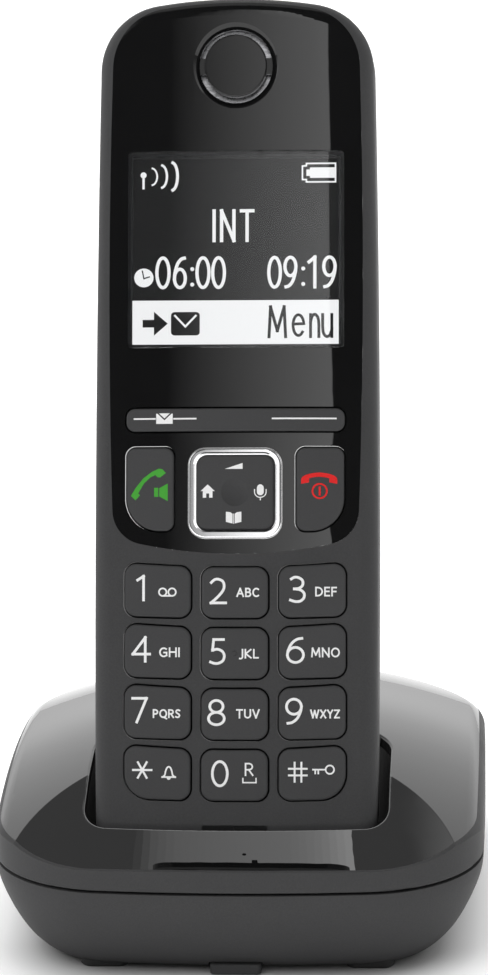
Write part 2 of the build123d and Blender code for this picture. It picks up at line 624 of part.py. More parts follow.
with BuildPart() as battery_contacts:
    for x in (-CELL_PITCH / 2, CELL_PITCH / 2):
        plate = (x - 3.6, CELL_DEPTH - 3.6, x + 3.6, CELL_DEPTH + 3.6)
        extrude(box_outline(across.offset(40.25), plate, 0.8), amount=0.4)
        extrude(box_outline(across.offset(88.35), plate, 0.8), amount=0.4)
        extrude(disc_outline(across.offset(40.65), [(x, CELL_DEPTH)], 2.4), amount=CELL_V - 40.7, taper=25)
        extrude(disc_outline(across.offset(88.35), [(x, CELL_DEPTH)], 2.6), amount=-1.8, taper=25)
battery_contacts.part.label = "battery_contacts"
export_step(battery_contacts.part, "parts/battery_contacts.step")

with BuildPart() as handset_charge_contacts:
    for x in PIN_X:
        extrude(box_outline(across.offset(0.25), (x - 1.9, 11.1, x + 1.9, 13.9), 0.4), amount=0.8)
        extrude(box_outline(across.offset(1.0), (x - 0.8, 12.2, x + 0.8, 12.8)), amount=4.0)
        extrude(box_outline(across.offset(4.4), (x - 0.8, 7.6, x + 0.8, 12.8)), amount=0.6)
handset_charge_contacts.part.label = "handset_charge_contacts"
export_step(handset_charge_contacts.part, "parts/handset_charge_contacts.step")

with BuildPart() as handset_screws:
    extrude(disc_outline(face.offset(-13.6), SCREW_PLACES, 2.1), amount=1.6)
    extrude(disc_outline(face.offset(-12.1), SCREW_PLACES, 1.0), amount=8.0)
    # Cross recess of each head
    for x, v in SCREW_PLACES:
        for long_x, long_v in ((1.1, 0.25), (0.25, 1.1)):
            arm = (x - long_x, v - long_v, x + long_x, v + long_v)
            extrude(box_outline(face.offset(-13.6), arm), amount=0.7, mode=Mode.SUBTRACT)
handset_screws.part.label = "handset_screws"
export_step(handset_screws.part, "parts/handset_screws.step")


# ---------------------------------------------------------------- base, top to bottom

top_solid = base_top()
well_core = extrude(well_outline(-12), amount=90)
cradle_core = extrude(well_outline(-12, CRADLE_WALL + 0.1), amount=90)
panel_plan = extrude(base_outline(10, 1.1, BASE_FRONT - 0.6), amount=40)
hull_solid = hull()

with BuildPart() as base_top_panel:
    add(top_solid)
    add(panel_plan, mode=Mode.INTERSECT)
    add(base_top(0.0, TOP_SKIN), mode=Mode.SUBTRACT)
    add(well_core, mode=Mode.SUBTRACT)
    rim = [
        edge
        for wall in base_top_panel.faces()
        if wall.normal_at().Z > 0.35
        for edge in wall.edges()
        if edge in base_top_panel.edges(Select.LAST)
    ]
    fillet(rim, radius=0.4)
base_top_panel.part.label = "base_top_panel"
export_step(base_top_panel.part, "parts/base_top_panel.step")

with BuildPart() as base_upper_shell:
    add(top_solid)
    fillet(base_upper_shell.edges().group_by(Axis.Z)[0], radius=0.4)
    add(panel_plan - base_top(0.0, TOP_SKIN), mode=Mode.SUBTRACT)
    add(base_top(2.0, 2 * TOP_SKIN, 2.5), mode=Mode.SUBTRACT)
    # Lip that drops inside the lower shell
    lip = extrude(base_outline(SEAM - 1.2, 1.25), amount=2.6, mode=Mode.PRIVATE)
    add(lip - extrude(base_outline(SEAM - 1.2, 2.0), amount=2.6, mode=Mode.PRIVATE))
    # Screw bosses
    boss_discs = disc_outline(Plane.XY.offset(14.9), BASE_SCREW_PLACES, 2.6)
    bosses = extrude(boss_discs, amount=16, mode=Mode.PRIVATE)
    add(bosses & base_crown(TOP_SKIN + 0.3))
    extrude(disc_outline(Plane.XY.offset(10), BASE_SCREW_PLACES, 1.15), amount=12.5, mode=Mode.SUBTRACT)
    add(cradle_core, mode=Mode.SUBTRACT)
base_upper_shell.part.label = "base_upper_shell"
export_step(base_upper_shell.part, "parts/base_upper_shell.step")

with BuildPart() as cradle_insert:
    extrude(well_outline(-1.6, CRADLE_WALL), amount=60)
    add(base_crown(TOP_SKIN + 0.1), mode=Mode.INTERSECT)
    add(apron_cone(TOP_SKIN + 0.1), mode=Mode.INTERSECT)
    extrude(box_outline(Plane.XY.offset(3.2), (-60, -60, 60, 60)), amount=60, mode=Mode.INTERSECT)
    pit = extrude(well_outline(-0.15), amount=70, mode=Mode.PRIVATE)
    pit &= extrude(box_outline(Plane.XY.offset(4.7), (-60, -60, 60, 60)), amount=80, mode=Mode.PRIVATE)
    add(pit, mode=Mode.SUBTRACT)
    extrude(disc_outline(across.offset(-5), PIN_PLACES, 1.4), amount=6, mode=Mode.SUBTRACT)
cradle_insert.part.label = "cradle_insert"
export_step(cradle_insert.part, "parts/cradle_insert.step")

for name, x in (("charge_pin_left", PIN_X[0]), ("charge_pin_right", PIN_X[1])):
    with BuildPart() as charge_pin:
        extrude(disc_outline(across.offset(-3.1), [(x, PIN_DEPTH)], 1.2), amount=3.3)
        fillet(charge_pin.edges().group_by(up_axis)[-1], radius=0.7)
        extrude(disc_outline(across.offset(-2.6), [(x, PIN_DEPTH)], 1.9), amount=0.7)
    charge_pin.part.label = name
    export_step(charge_pin.part, f"parts/{name}.step")

with BuildPart() as contact_carrier:
    extrude(disc_outline(across.offset(-4.4), PIN_PLACES, 2.9), amount=2.75)
    extrude(box_outline(across.offset(-2.7), (-9, 11.4, 9, 13.6)), amount=1.05)
    extrude(disc_outline(across.offset(-4.0), PIN_PLACES, 2.15), amount=3, mode=Mode.SUBTRACT)
contact_carrier.part.label = "contact_carrier"
export_step(contact_carrier.part, "parts/contact_carrier.step")

with BuildPart() as base_circuit_board:
    extrude(box_outline(Plane.XY.offset(BASE_BOARD), (-36.5, -5.5, 36.5, 40), 12), amount=1.2)
    extrude(disc_outline(Plane.XY.offset(10), BASE_SCREW_PLACES, 3.2), amount=10, mode=Mode.SUBTRACT)
base_circuit_board.part.label = "base_circuit_board"
export_step(base_circuit_board.part, "parts/base_circuit_board.step")

with BuildPart() as base_components:
    board = Plane.XY.offset(BASE_BOARD + 1.2)
    extrude(box_outline(board, (-4, 6, 22, 24), 1.0), amount=2.6)
    extrude(box_outline(board, (-18, 2, -8, 12)), amount=1.2)
    extrude(box_outline(board, (-24, 24, -13, 33)), amount=7.0)
    extrude(disc_outline(board, [(-8, 30), (2, 31)], 3.2), amount=7.5)
    extrude(disc_outline(board, [(12, 31), (19, 31)], 2.4), amount=5.0)
    extrude(box_outline(Plane.XY.offset(BASE_BOARD), (-4, 10, 4, 16)), amount=-1.4)
base_components.part.label = "base_components"
export_step(base_components.part, "parts/base_components.step")

with BuildPart() as base_antenna:
    for low, high in ((-27.0, -15.0), (15.0, 27.0)):
        extrude(box_outline(Plane.XY.offset(BASE_BOARD + 4.0), (low, 36.0, high, 36.4)), amount=3.0)
        extrude(box_outline(Plane.XY.offset(BASE_BOARD + 1.2), (low, 36.0, low + 1.2, 36.4)), amount=2.8)
base_antenna.part.label = "base_antenna"
export_step(base_antenna.part, "parts/base_antenna.step")

for name, x in (("power_socket", SOCKET_X[0]), ("line_socket", SOCKET_X[1])):
    with BuildPart() as socket:
        extrude(box_outline(Plane.XY.offset(5.2), (x - 6.3, 28.5, x + 6.3, 42.4), 0.3), amount=10.0)
        cavity = (x - 4.9, 30.8, x + 4.9, 46)
        extrude(box_outline(Plane.XY.offset(6.6), cavity), amount=7.0, mode=Mode.SUBTRACT)
        # Slot for the plug's latch
        extrude(box_outline(Plane.XY.offset(5.8), (x - 2.1, 34, x + 2.1, 46)), amount=1.0, mode=Mode.SUBTRACT)
    socket.part.label = name
    export_step(socket.part, f"parts/{name}.step")

with BuildPart() as socket_contacts:
    for x in SOCKET_X:
        for step in range(4):
            place = x - 1.905 + 1.27 * step
            wire = (place - 0.25, 30.8, place + 0.25, 40.0)
            extrude(box_outline(Plane.XY.offset(12.9), wire), amount=0.7)
socket_contacts.part.label = "socket_contacts"
export_step(socket_contacts.part, "parts/socket_contacts.step")

with BuildPart() as base_lower_shell:
    add(hull_solid)
    add(hull(HULL_WALL, FLOOR_TOP), mode=Mode.SUBTRACT)
    # Rebate for the upper shell's lip
    extrude(base_outline(SEAM - 1.35, 1.15), amount=3, mode=Mode.SUBTRACT)
    # Screw columns, open from below
    column_discs = disc_outline(Plane.XY.offset(1), BASE_SCREW_PLACES, 3.0)
    columns = extrude(column_discs, amount=13.8, mode=Mode.PRIVATE)
    add(columns & hull_solid)
    extrude(disc_outline(Plane.XY, BASE_SCREW_PLACES, 1.2), amount=20, mode=Mode.SUBTRACT)
    extrude(disc_outline(Plane.XY, BASE_SCREW_PLACES, 2.4), amount=6, mode=Mode.SUBTRACT)
    # Openings for the two sockets
    for x in SOCKET_X:
        opening = (x - 6.45, 28.4, x + 6.45, 50)
        extrude(box_outline(Plane.XY.offset(5.0), opening, 0.3), amount=10.4, mode=Mode.SUBTRACT)
    # Pads for the feet and the channel of the paging key
    for x, y in FOOT_PLACES:
        pad = (x - 4.3, y - 4.0, x + 4.3, y + 4.0)
        extrude(box_outline(Plane.XY, pad, 2.1), amount=1.6, mode=Mode.SUBTRACT)
    extrude(box_outline(Plane.XY, (-4.6, -50, 4.6, -28.4), 0.3), amount=2.15, mode=Mode.SUBTRACT)
    extrude(box_outline(Plane.XY, (-1.7, -32.4, 1.7, -29.0), 0.3), amount=4, mode=Mode.SUBTRACT)
base_lower_shell.part.label = "base_lower_shell"
export_step(base_lower_shell.part, "parts/base_lower_shell.step")

with BuildPart() as paging_key:
    extrude(box_outline(Plane.XY.offset(0.25), (-4.35, -39.3, 4.35, -29.6), 0.8), amount=1.7)
    fillet(paging_key.edges().group_by(Axis.Z)[-1], radius=0.3)
    extrude(box_outline(Plane.XY.offset(1.5), (-1.4, -32.1, 1.4, -30.3)), amount=3.5)
paging_key.part.label = "paging_key"
export_step(paging_key.part, "parts/paging_key.step")

with BuildPart() as paging_switch:
    extrude(box_outline(Plane.XY.offset(FLOOR_TOP), (-3, SWITCH_Y, 3, SWITCH_Y + 4)), amount=2.2)
    extrude(box_outline(Plane.XY.offset(3.6), (-0.8, SWITCH_Y - 0.9, 0.8, SWITCH_Y)), amount=1.0)
paging_switch.part.label = "paging_switch"
export_step(paging_switch.part, "parts/paging_switch.step")

with BuildPart() as base_feet:
    for x, y in FOOT_PLACES:
        extrude(box_outline(Plane.XY, (x - 4.2, y - 3.9, x + 4.2, y + 3.9), 2.0), amount=1.55)
    chamfer(base_feet.edges().group_by(Axis.Z)[0], length=0.3)
base_feet.part.label = "base_feet"
export_step(base_feet.part, "parts/base_feet.step")

with BuildPart() as base_screws:
    extrude(disc_outline(Plane.XY.offset(4.3), BASE_SCREW_PLACES, 2.2), amount=1.7)
    extrude(disc_outline(Plane.XY.offset(6.0), BASE_SCREW_PLACES, 1.12), amount=15.5)
    # Cross recess of each head
    for x, y in BASE_SCREW_PLACES:
        for long_x, long_y in ((1.2, 0.25), (0.25, 1.2)):
            arm = (x - long_x, y - long_y, x + long_x, y + long_y)
            extrude(box_outline(Plane.XY.offset(4.3), arm), amount=0.8, mode=Mode.SUBTRACT)
base_screws.part.label = "base_screws"
export_step(base_screws.part, "parts/base_screws.step")
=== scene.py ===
import json
import math

import bmesh
import bpy
from mathutils import Matrix, Vector
from mathutils.bvhtree import BVHTree
from mathutils.geometry import tessellate_polygon


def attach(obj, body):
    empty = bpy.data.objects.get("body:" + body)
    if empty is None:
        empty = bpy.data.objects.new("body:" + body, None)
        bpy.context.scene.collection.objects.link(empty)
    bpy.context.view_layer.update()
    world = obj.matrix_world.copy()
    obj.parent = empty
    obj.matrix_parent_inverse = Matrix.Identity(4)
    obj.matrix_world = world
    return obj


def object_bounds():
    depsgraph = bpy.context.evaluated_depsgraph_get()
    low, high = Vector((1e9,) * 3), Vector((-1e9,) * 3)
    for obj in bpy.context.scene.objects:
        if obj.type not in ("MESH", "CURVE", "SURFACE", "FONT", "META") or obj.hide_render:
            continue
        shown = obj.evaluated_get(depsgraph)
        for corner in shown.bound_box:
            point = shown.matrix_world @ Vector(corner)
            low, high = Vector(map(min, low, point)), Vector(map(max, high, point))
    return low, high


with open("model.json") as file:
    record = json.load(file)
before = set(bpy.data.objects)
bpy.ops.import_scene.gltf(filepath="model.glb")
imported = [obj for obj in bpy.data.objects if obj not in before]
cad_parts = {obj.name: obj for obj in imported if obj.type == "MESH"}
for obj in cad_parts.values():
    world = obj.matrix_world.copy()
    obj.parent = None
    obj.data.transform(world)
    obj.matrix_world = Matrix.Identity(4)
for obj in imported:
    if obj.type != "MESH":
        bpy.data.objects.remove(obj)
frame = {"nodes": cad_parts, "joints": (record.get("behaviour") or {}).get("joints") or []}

cad_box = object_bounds()

# ------------------------------------------------------------ the handset's own directions

joints = {joint["name"]: joint for joint in frame["joints"]}
RIGHT = Vector((1, 0, 0))
UP = Vector(joints["handset_lift"]["axis"]).normalized()
INTO = Vector(joints["key_5_press"]["axis"]).normalized()
OUT = -INTO
MM = 0.001
ABOVE = 0.2  # from the handset's middle plane to where rays that look for its surface start


def span(node):
    """A node's left, low, right and high end along the handset's face."""
    points = [vertex.co for vertex in frame["nodes"][node].data.vertices]
    across = [point.dot(RIGHT) for point in points]
    along = [point.dot(UP) for point in points]
    return min(across), min(along), max(across), max(along)


def part_of(box, left, low, right, high):
    """A smaller box inside a box, given in fractions of its width and height."""
    width = box[2] - box[0]
    height = box[3] - box[1]
    return (
        box[0] + left * width,
        box[1] + low * height,
        box[0] + right * width,
        box[1] + high * height,
    )


# ------------------------------------------------------------ flat signs as thin printed plates

COATS = 7  # shapes in a sign lie at this many heights
COAT_STEP = 0.0015 * MM
SAME_PLACE = 1e-7
SHARP_TURN = 0.5  # cosine of the turn from which a ribbon is cut at its corner
MITRE_LIMIT = 0.45


class Sign:
    """Flat shapes on the handset's face. They are drawn across and along it, in metres."""

    def __init__(self):
        self.points = []
        self.faces = []
        self.coats = 0

    def coat(self):
        """Shapes that overlap lie a hair's breadth above one another."""
        self.coats += 1
        return self.coats % COATS * COAT_STEP

    def area(self, outline, *holes):
        loops = [outline, *holes]
        start = len(self.points)
        coat = self.coat()
        for loop in loops:
            self.points += [(x, y, coat) for x, y in loop]
        flat = [[Vector((x, y, 0)) for x, y in loop] for loop in loops]
        for triangle in tessellate_polygon(flat):
            self.faces.append([start + corner for corner in triangle])

    def ribbon(self, path, width, closed=False):
        path = [Vector(point) for point in path]
        path = [point for i, point in enumerate(path) if i == 0 or (point - path[i - 1]).length > SAME_PLACE]
        if closed and (path[0] - path[-1]).length < SAME_PLACE:
            path.pop()
        if not closed:
            # Every run ends square, also at a sharp corner
            for i in range(1, len(path) - 1):
                into = (path[i] - path[i - 1]).normalized()
                if into.dot((path[i + 1] - path[i]).normalized()) < SHARP_TURN:
                    self.ribbon(path[: i + 1], width)
                    self.ribbon(path[i:], width)
                    return
            path[0] = path[0] + (path[0] - path[1]).normalized() * width / 2
            path[-1] = path[-1] + (path[-1] - path[-2]).normalized() * width / 2
        count = len(path)
        start = len(self.points)
        coat = self.coat()
        for i, point in enumerate(path):
            before = path[i - 1] if i > 0 or closed else None
            after = path[(i + 1) % count] if i < count - 1 or closed else None
            into = (point - before).normalized() if before is not None else (after - point).normalized()
            away = (after - point).normalized() if after is not None else into
            left = Vector((-into.y, into.x))
            side = left + Vector((-away.y, away.x))
            side = side.normalized() if side.length > 0.2 else left
            reach = width / 2 / max(side.dot(left), MITRE_LIMIT)
            self.points += [(*(point + side * reach), coat), (*(point - side * reach), coat)]
        for i in range(count if closed else count - 1):
            a = start + 2 * i
            b = start + 2 * ((i + 1) % count)
            self.faces.append([a, a + 1, b + 1, b])

    def disc(self, centre, radius, sides=32):
        self.area(oval(centre, radius, radius, 0, 360, sides)[:-1])


def oval(centre, wide, tall, start, end, steps=24):
    """Points along part of an oval, angles in degrees."""
    angles = [math.radians(start + (end - start) * i / steps) for i in range(steps + 1)]
    return [(centre[0] + wide * math.cos(a), centre[1] + tall * math.sin(a)) for a in angles]


def smooth(points, steps=6):
    """A smooth line through points."""
    ends = [points[0], *points, points[-1]]
    line = []
    for i in range(1, len(ends) - 2):
        a, b, c, d = (Vector(point) for point in ends[i - 1 : i + 3])
        for step in range(steps):
            t = step / steps
            square = (2 * a - 5 * b + 4 * c - d) * t * t
            cube = (3 * b - a - 3 * c + d) * t * t * t
            line.append(tuple(0.5 * (2 * b + (c - a) * t + square + cube)))
    return line + [tuple(points[-1])]


def straight(points, steps=1):
    """Straight runs through points, each cut into equal steps."""
    line = []
    for (x0, y0), (x1, y1) in zip(points, points[1:]):
        line += [(x0 + (x1 - x0) * i / steps, y0 + (y1 - y0) * i / steps) for i in range(steps)]
    return line + [points[-1]]


def bowl(low, high, reach, run):
    """The rounded part of a B, D, P or R: out from the stem, round and back."""
    middle = (low + high) / 2
    return [(0, high), *oval((run, middle), reach - run, (high - low) / 2, 90, -90, 12), (0, low)]


RING = oval((0.5, 0.5), 0.5, 0.5, 0, 360, 28)
TWO_TOP = [(0.04, 0.86), (0.25, 0.975), (0.5, 1), (0.8, 0.91)]
TWO_NECK = [(0.9, 0.72), (0.8, 0.5), (0.42, 0.22), (0.02, 0)]
THREE_TOP = [(0.06, 0.93), (0.3, 1), (0.6, 0.98), (0.86, 0.86), (0.86, 0.67), (0.62, 0.55), (0.28, 0.52)]
THREE_BOWL = [(0.28, 0.52), (0.7, 0.48), (0.97, 0.34), (0.95, 0.15), (0.7, 0.02), (0.35, 0), (0, 0.06)]
FIVE_BOWL = [(0.14, 0.55), (0.5, 0.59), (0.84, 0.5), (0.98, 0.32)]
FIVE_BOWL += [(0.88, 0.11), (0.55, 0), (0.25, 0), (0, 0.05)]
S_TOP = [(0.94, 0.93), (0.6, 1), (0.25, 0.95), (0.08, 0.76), (0.3, 0.58)]
S_BOWL = [(0.72, 0.45), (0.95, 0.24), (0.75, 0.04), (0.4, 0), (0.04, 0.07)]
N_ARCH = [(0, 0.5), (0.2, 0.68), (0.55, 0.74), (0.9, 0.62), (1, 0.4)]
U_ARCH = [(0, 0.33), (0.1, 0.11), (0.45, 0), (0.8, 0.06), (1, 0.24)]

# Each glyph: its width where its height is 1, and its strokes in a unit box
GLYPHS = {
    "0": (0.50, [RING]),
    "1": (0.24, [[(0, 0.84), (1, 1), (1, 0)]]),
    "2": (0.46, [smooth(TWO_TOP + TWO_NECK) + [(1, 0)]]),
    "3": (0.46, [smooth(THREE_TOP), smooth(THREE_BOWL)]),
    "4": (0.54, [[(0.74, 0), (0.74, 1), (0, 0.3), (1, 0.3)]]),
    "5": (0.45, [[(0.92, 1), (0.22, 1), (0.14, 0.55)], smooth(FIVE_BOWL)]),
    "6": (
        0.50,
        [
            oval((0.5, 0.31), 0.5, 0.31, 0, 360, 24),
            smooth([(0.9, 0.99), (0.6, 0.95), (0.28, 0.79), (0.06, 0.52), (0, 0.31)]),
        ],
    ),
    "7": (0.48, [[(0, 1), (1, 1), (0.3, 0)]]),
    "8": (
        0.50,
        [oval((0.5, 0.755), 0.42, 0.245, 0, 360, 24), oval((0.5, 0.255), 0.5, 0.255, 0, 360, 24)],
    ),
    "9": (
        0.50,
        [
            oval((0.5, 0.69), 0.5, 0.31, 0, 360, 24),
            smooth([(1, 0.69), (0.94, 0.48), (0.72, 0.21), (0.4, 0.05), (0.1, 0.01)]),
        ],
    ),
    ":": (0.0, []),
    "A": (0.62, [[(0, 0), (0.5, 1), (1, 0)], [(0.19, 0.34), (0.81, 0.34)]]),
    "B": (0.46, [[(0, 0), (0, 1)], bowl(0.53, 1, 0.88, 0.5), bowl(0, 0.53, 1, 0.5)]),
    "C": (0.52, [oval((0.62, 0.5), 0.62, 0.5, 52, 308, 20)]),
    "D": (0.58, [[(0, 0), (0, 1)], bowl(0, 1, 1, 0.3)]),
    "E": (0.40, [[(1, 1), (0, 1), (0, 0), (1, 0)], [(0, 0.53), (0.9, 0.53)]]),
    "F": (0.38, [[(1, 1), (0, 1), (0, 0)], [(0, 0.51), (0.9, 0.51)]]),
    "G": (0.58, [oval((0.58, 0.5), 0.58, 0.5, 52, 300, 20) + [(1, 0.12), (1, 0.47), (0.62, 0.47)]]),
    "H": (0.56, [[(0, 0), (0, 1)], [(1, 0), (1, 1)], [(0, 0.53), (1, 0.53)]]),
    "I": (0.0, [[(0, 0), (0, 1)]]),
    "J": (0.26, [[(1, 1), (1, 0.2), *oval((0.3, 0.14), 0.7, 0.26, 0, -110, 8)]]),
    "K": (0.50, [[(0, 0), (0, 1)], [(0.95, 1), (0.06, 0.5), (1, 0)]]),
    "L": (0.38, [[(0, 1), (0, 0), (1, 0)]]),
    "M": (0.70, [[(0, 0), (0.09, 1), (0.5, 0.2), (0.91, 1), (1, 0)]]),
    "N": (0.56, [[(0, 0), (0, 1), (1, 0), (1, 1)]]),
    "O": (0.66, [RING]),
    "P": (0.42, [[(0, 0), (0, 1)], bowl(0.45, 1, 1, 0.45)]),
    "Q": (0.66, [RING, [(0.5, 0.02), (0.75, -0.06), (1, -0.18)]]),
    "R": (0.46, [[(0, 0), (0, 1)], bowl(0.47, 1, 0.95, 0.45), [(0.45, 0.47), (1, 0)]]),
    "S": (0.40, [smooth(S_TOP + S_BOWL)]),
    "T": (0.52, [[(0, 1), (1, 1)], [(0.5, 1), (0.5, 0)]]),
    "U": (0.54, [[(0, 1), *oval((0.5, 0.34), 0.5, 0.34, 180, 360, 14), (1, 1)]]),
    "V": (0.58, [[(0, 1), (0.5, 0), (1, 1)]]),
    "W": (0.86, [[(0, 1), (0.26, 0), (0.5, 0.94), (0.74, 0), (1, 1)]]),
    "X": (0.52, [[(0, 0), (1, 1)], [(0, 1), (1, 0)]]),
    "Y": (0.52, [[(0, 1), (0.5, 0.5), (1, 1)], [(0.5, 0.5), (0.5, 0)]]),
    "Z": (0.48, [[(0, 1), (1, 1), (0, 0), (1, 0)]]),
    "e": (0.44, [[(0, 0.42), *oval((0.5, 0.385), 0.5, 0.345, 8, 318, 22)]]),
    "n": (0.42, [[(0, 0), (0, 0.73)], smooth(N_ARCH) + [(1, 0)]]),
    "u": (0.42, [[(1, 0), (1, 0.73)], [(0, 0.73)] + smooth(U_ARCH)]),
}
COLON_DOTS = (0.10, 0.62)  # heights of its dots' middles
COLON_RADIUS = 0.62  # of the stroke


def write(sign, text, box, stroke, gap):
    """Writes a word so that it fills a box. The gap between letters is in parts of its height."""
    left, low, right, high = box
    height = high - low - stroke
    total = sum(GLYPHS[letter][0] for letter in text) + gap * (len(text) - 1)
    scale = (right - left - stroke) / total if total > 0 else 0
    x = left + stroke / 2
    y = low + stroke / 2
    for letter in text:
        width = GLYPHS[letter][0] * scale
        for path in GLYPHS[letter][1]:
            closed = path[0] == path[-1] or (Vector(path[0]) - Vector(path[-1])).length < 1e-6
            sign.ribbon([(x + px * width, y + py * height) for px, py in path], stroke, closed)
        if letter == ":":
            for part in COLON_DOTS:
                sign.disc((x, y + part * height), stroke * COLON_RADIUS, 16)
        x += width + gap * scale


trees = {}


def tree(node):
    if node not in trees:
        mesh = frame["nodes"][node].data
        trees[node] = BVHTree.FromPolygons(
            [vertex.co for vertex in mesh.vertices], [face.vertices[:] for face in mesh.polygons]
        )
    return trees[node]


PLATE_TOP = 0.03 * MM  # above the surface of the node
PLATE_FOOT = 0.02 * MM  # below it


def printed(name, sign, node, body, material, lift=PLATE_TOP):
    """Lays a sign on the outer side of a CAD node as a thin closed plate that follows it."""
    mesh = bpy.data.meshes.new(name)
    build = bmesh.new()
    corners = [build.verts.new(point) for point in sign.points]
    for face in sign.faces:
        if len(set(face)) == len(face):
            try:
                build.faces.new([corners[i] for i in face])
            except ValueError:
                pass
    bmesh.ops.recalc_face_normals(build, faces=build.faces[:])
    grown = bmesh.ops.extrude_face_region(build, geom=build.faces[:], use_keep_orig=True)
    tops = {item for item in grown["geom"] if isinstance(item, bmesh.types.BMVert)}
    for vertex in build.verts:
        if not vertex.link_faces:
            continue
        start = RIGHT * vertex.co.x + UP * vertex.co.y + OUT * ABOVE
        hit = tree(node).ray_cast(start, INTO)[0]
        if hit is None:
            raise RuntimeError(f"{name} reaches past {node}")
        vertex.co = hit + OUT * (lift + vertex.co.z if vertex in tops else -PLATE_FOOT)
    loose = [vertex for vertex in build.verts if not vertex.link_faces]
    bmesh.ops.delete(build, geom=loose, context="VERTS")
    bmesh.ops.recalc_face_normals(build, faces=build.faces[:])
    build.to_mesh(mesh)
    build.free()
    piece = bpy.data.objects.new(name, mesh)
    bpy.context.scene.collection.objects.link(piece)
    mesh.materials.append(material)
    piece.visible_glossy = False
    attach(piece, body)


# ------------------------------------------------------------ materials

PLASTIC_IOR = 1.5
WINDOW_IOR = 1.33
TRACE_PITCH = 2.2 * MM
DISPLAY_DOTS = 0.12  # millimetres


class Nodes:
    """A small writer of node trees."""

    def __init__(self, material):
        self.tree = material.node_tree
        self.shader = self.tree.nodes["Principled BSDF"]
        self.places = self.tree.nodes.new("ShaderNodeTexCoord").outputs["Object"]

    def new(self, kind, **settings):
        node = self.tree.nodes.new(kind)
        for key, value in settings.items():
            if hasattr(node, key):
                setattr(node, key, value)
            else:
                node.inputs[key.replace("_", " ")].default_value = value
        return node

    def link(self, a, b):
        self.tree.links.new(a, b)

    def noise(self, size, detail=3.0, roughness=0.55):
        """Noise whose features are about this many millimetres across."""
        scale = 1.0 / (size * MM)
        node = self.new("ShaderNodeTexNoise", Scale=scale, Detail=detail, Roughness=roughness)
        self.link(self.places, node.inputs["Vector"])
        return node.outputs["Fac"]

    def spread(self, value, low, high, source_low=0.3, source_high=0.7):
        node = self.new("ShaderNodeMapRange")
        node.inputs["From Min"].default_value = source_low
        node.inputs["From Max"].default_value = source_high
        node.inputs["To Min"].default_value = low
        node.inputs["To Max"].default_value = high
        self.link(value, node.inputs["Value"])
        return node.outputs["Result"]

    def tint(self, factor, dark, light):
        node = self.new("ShaderNodeMix", data_type="RGBA")
        node.inputs[6].default_value = (*dark, 1)
        node.inputs[7].default_value = (*light, 1)
        self.link(factor, node.inputs["Factor"])
        return node.outputs[2]

    def bump(self, height, depth, strength=1.0, after=None):
        """Surface relief of a depth in millimetres."""
        node = self.new("ShaderNodeBump", Strength=strength, Distance=depth * MM)
        self.link(height, node.inputs["Height"])
        if after is not None:
            self.link(after, node.inputs["Normal"])
        return node.outputs["Normal"]


def new_material(name, **values):
    material = bpy.data.materials.new(name)
    material.use_nodes = True
    nodes = Nodes(material)
    for key, value in values.items():
        nodes.shader.inputs[key.replace("_", " ")].default_value = value
    return material, nodes


def shade(colour, factor):
    return tuple(part * factor for part in colour)


def moulded(name, colour, rough, grain=0.28, relief=0.012, vary=0.10, specular=0.5):
    """Moulded plastic with a fine eroded grain, slight shade variation and a worn sheen."""
    material, nodes = new_material(name, IOR=PLASTIC_IOR, Specular_IOR_Level=specular)
    cloud = nodes.noise(size=9.0, detail=2.0)
    fine = nodes.noise(grain, detail=2.0)
    tone = nodes.new("ShaderNodeMath", operation="MULTIPLY_ADD")
    nodes.link(cloud, tone.inputs[0])
    tone.inputs[1].default_value = 0.4
    nodes.link(fine, tone.inputs[2])
    mix = nodes.spread(tone.outputs[0], 0.0, 1.0, source_low=0.45, source_high=0.95)
    colours = nodes.tint(mix, shade(colour, 1 - vary), shade(colour, 1 + vary))
    nodes.link(colours, nodes.shader.inputs["Base Color"])
    nodes.link(nodes.spread(cloud, rough - 0.04, rough + 0.04), nodes.shader.inputs["Roughness"])
    coarse = nodes.bump(nodes.noise(grain * 3.2, detail=2.0), relief * 0.8)
    nodes.link(nodes.bump(fine, relief, after=coarse), nodes.shader.inputs["Normal"])
    return material


def polished(name, colour, rough):
    """Polished plastic: faint orange peel, and hair-fine rub marks in its gloss."""
    material, nodes = new_material(name, IOR=PLASTIC_IOR)
    cloud = nodes.noise(size=14.0, detail=3.0)
    rub = nodes.noise(size=0.9, detail=4.0, roughness=0.7)
    both = nodes.new("ShaderNodeMath", operation="MULTIPLY")
    nodes.link(cloud, both.inputs[0])
    nodes.link(rub, both.inputs[1])
    gloss = nodes.spread(both.outputs[0], rough, rough + 0.012, source_low=0.2, source_high=0.5)
    nodes.link(gloss, nodes.shader.inputs["Roughness"])
    colours = nodes.tint(nodes.spread(cloud, 0, 1), shade(colour, 0.9), shade(colour, 1.1))
    nodes.link(colours, nodes.shader.inputs["Base Color"])
    peel = nodes.bump(nodes.noise(size=4.0, detail=1.0), depth=0.0015)
    nodes.link(peel, nodes.shader.inputs["Normal"])
    return material


BRUSHED = 0.35 * MM  # across the lines in metal
BRUSHED_STRETCH = (0.25, 1.0, 1.0)
BRUSHED_DEPTH = 0.002  # millimetres


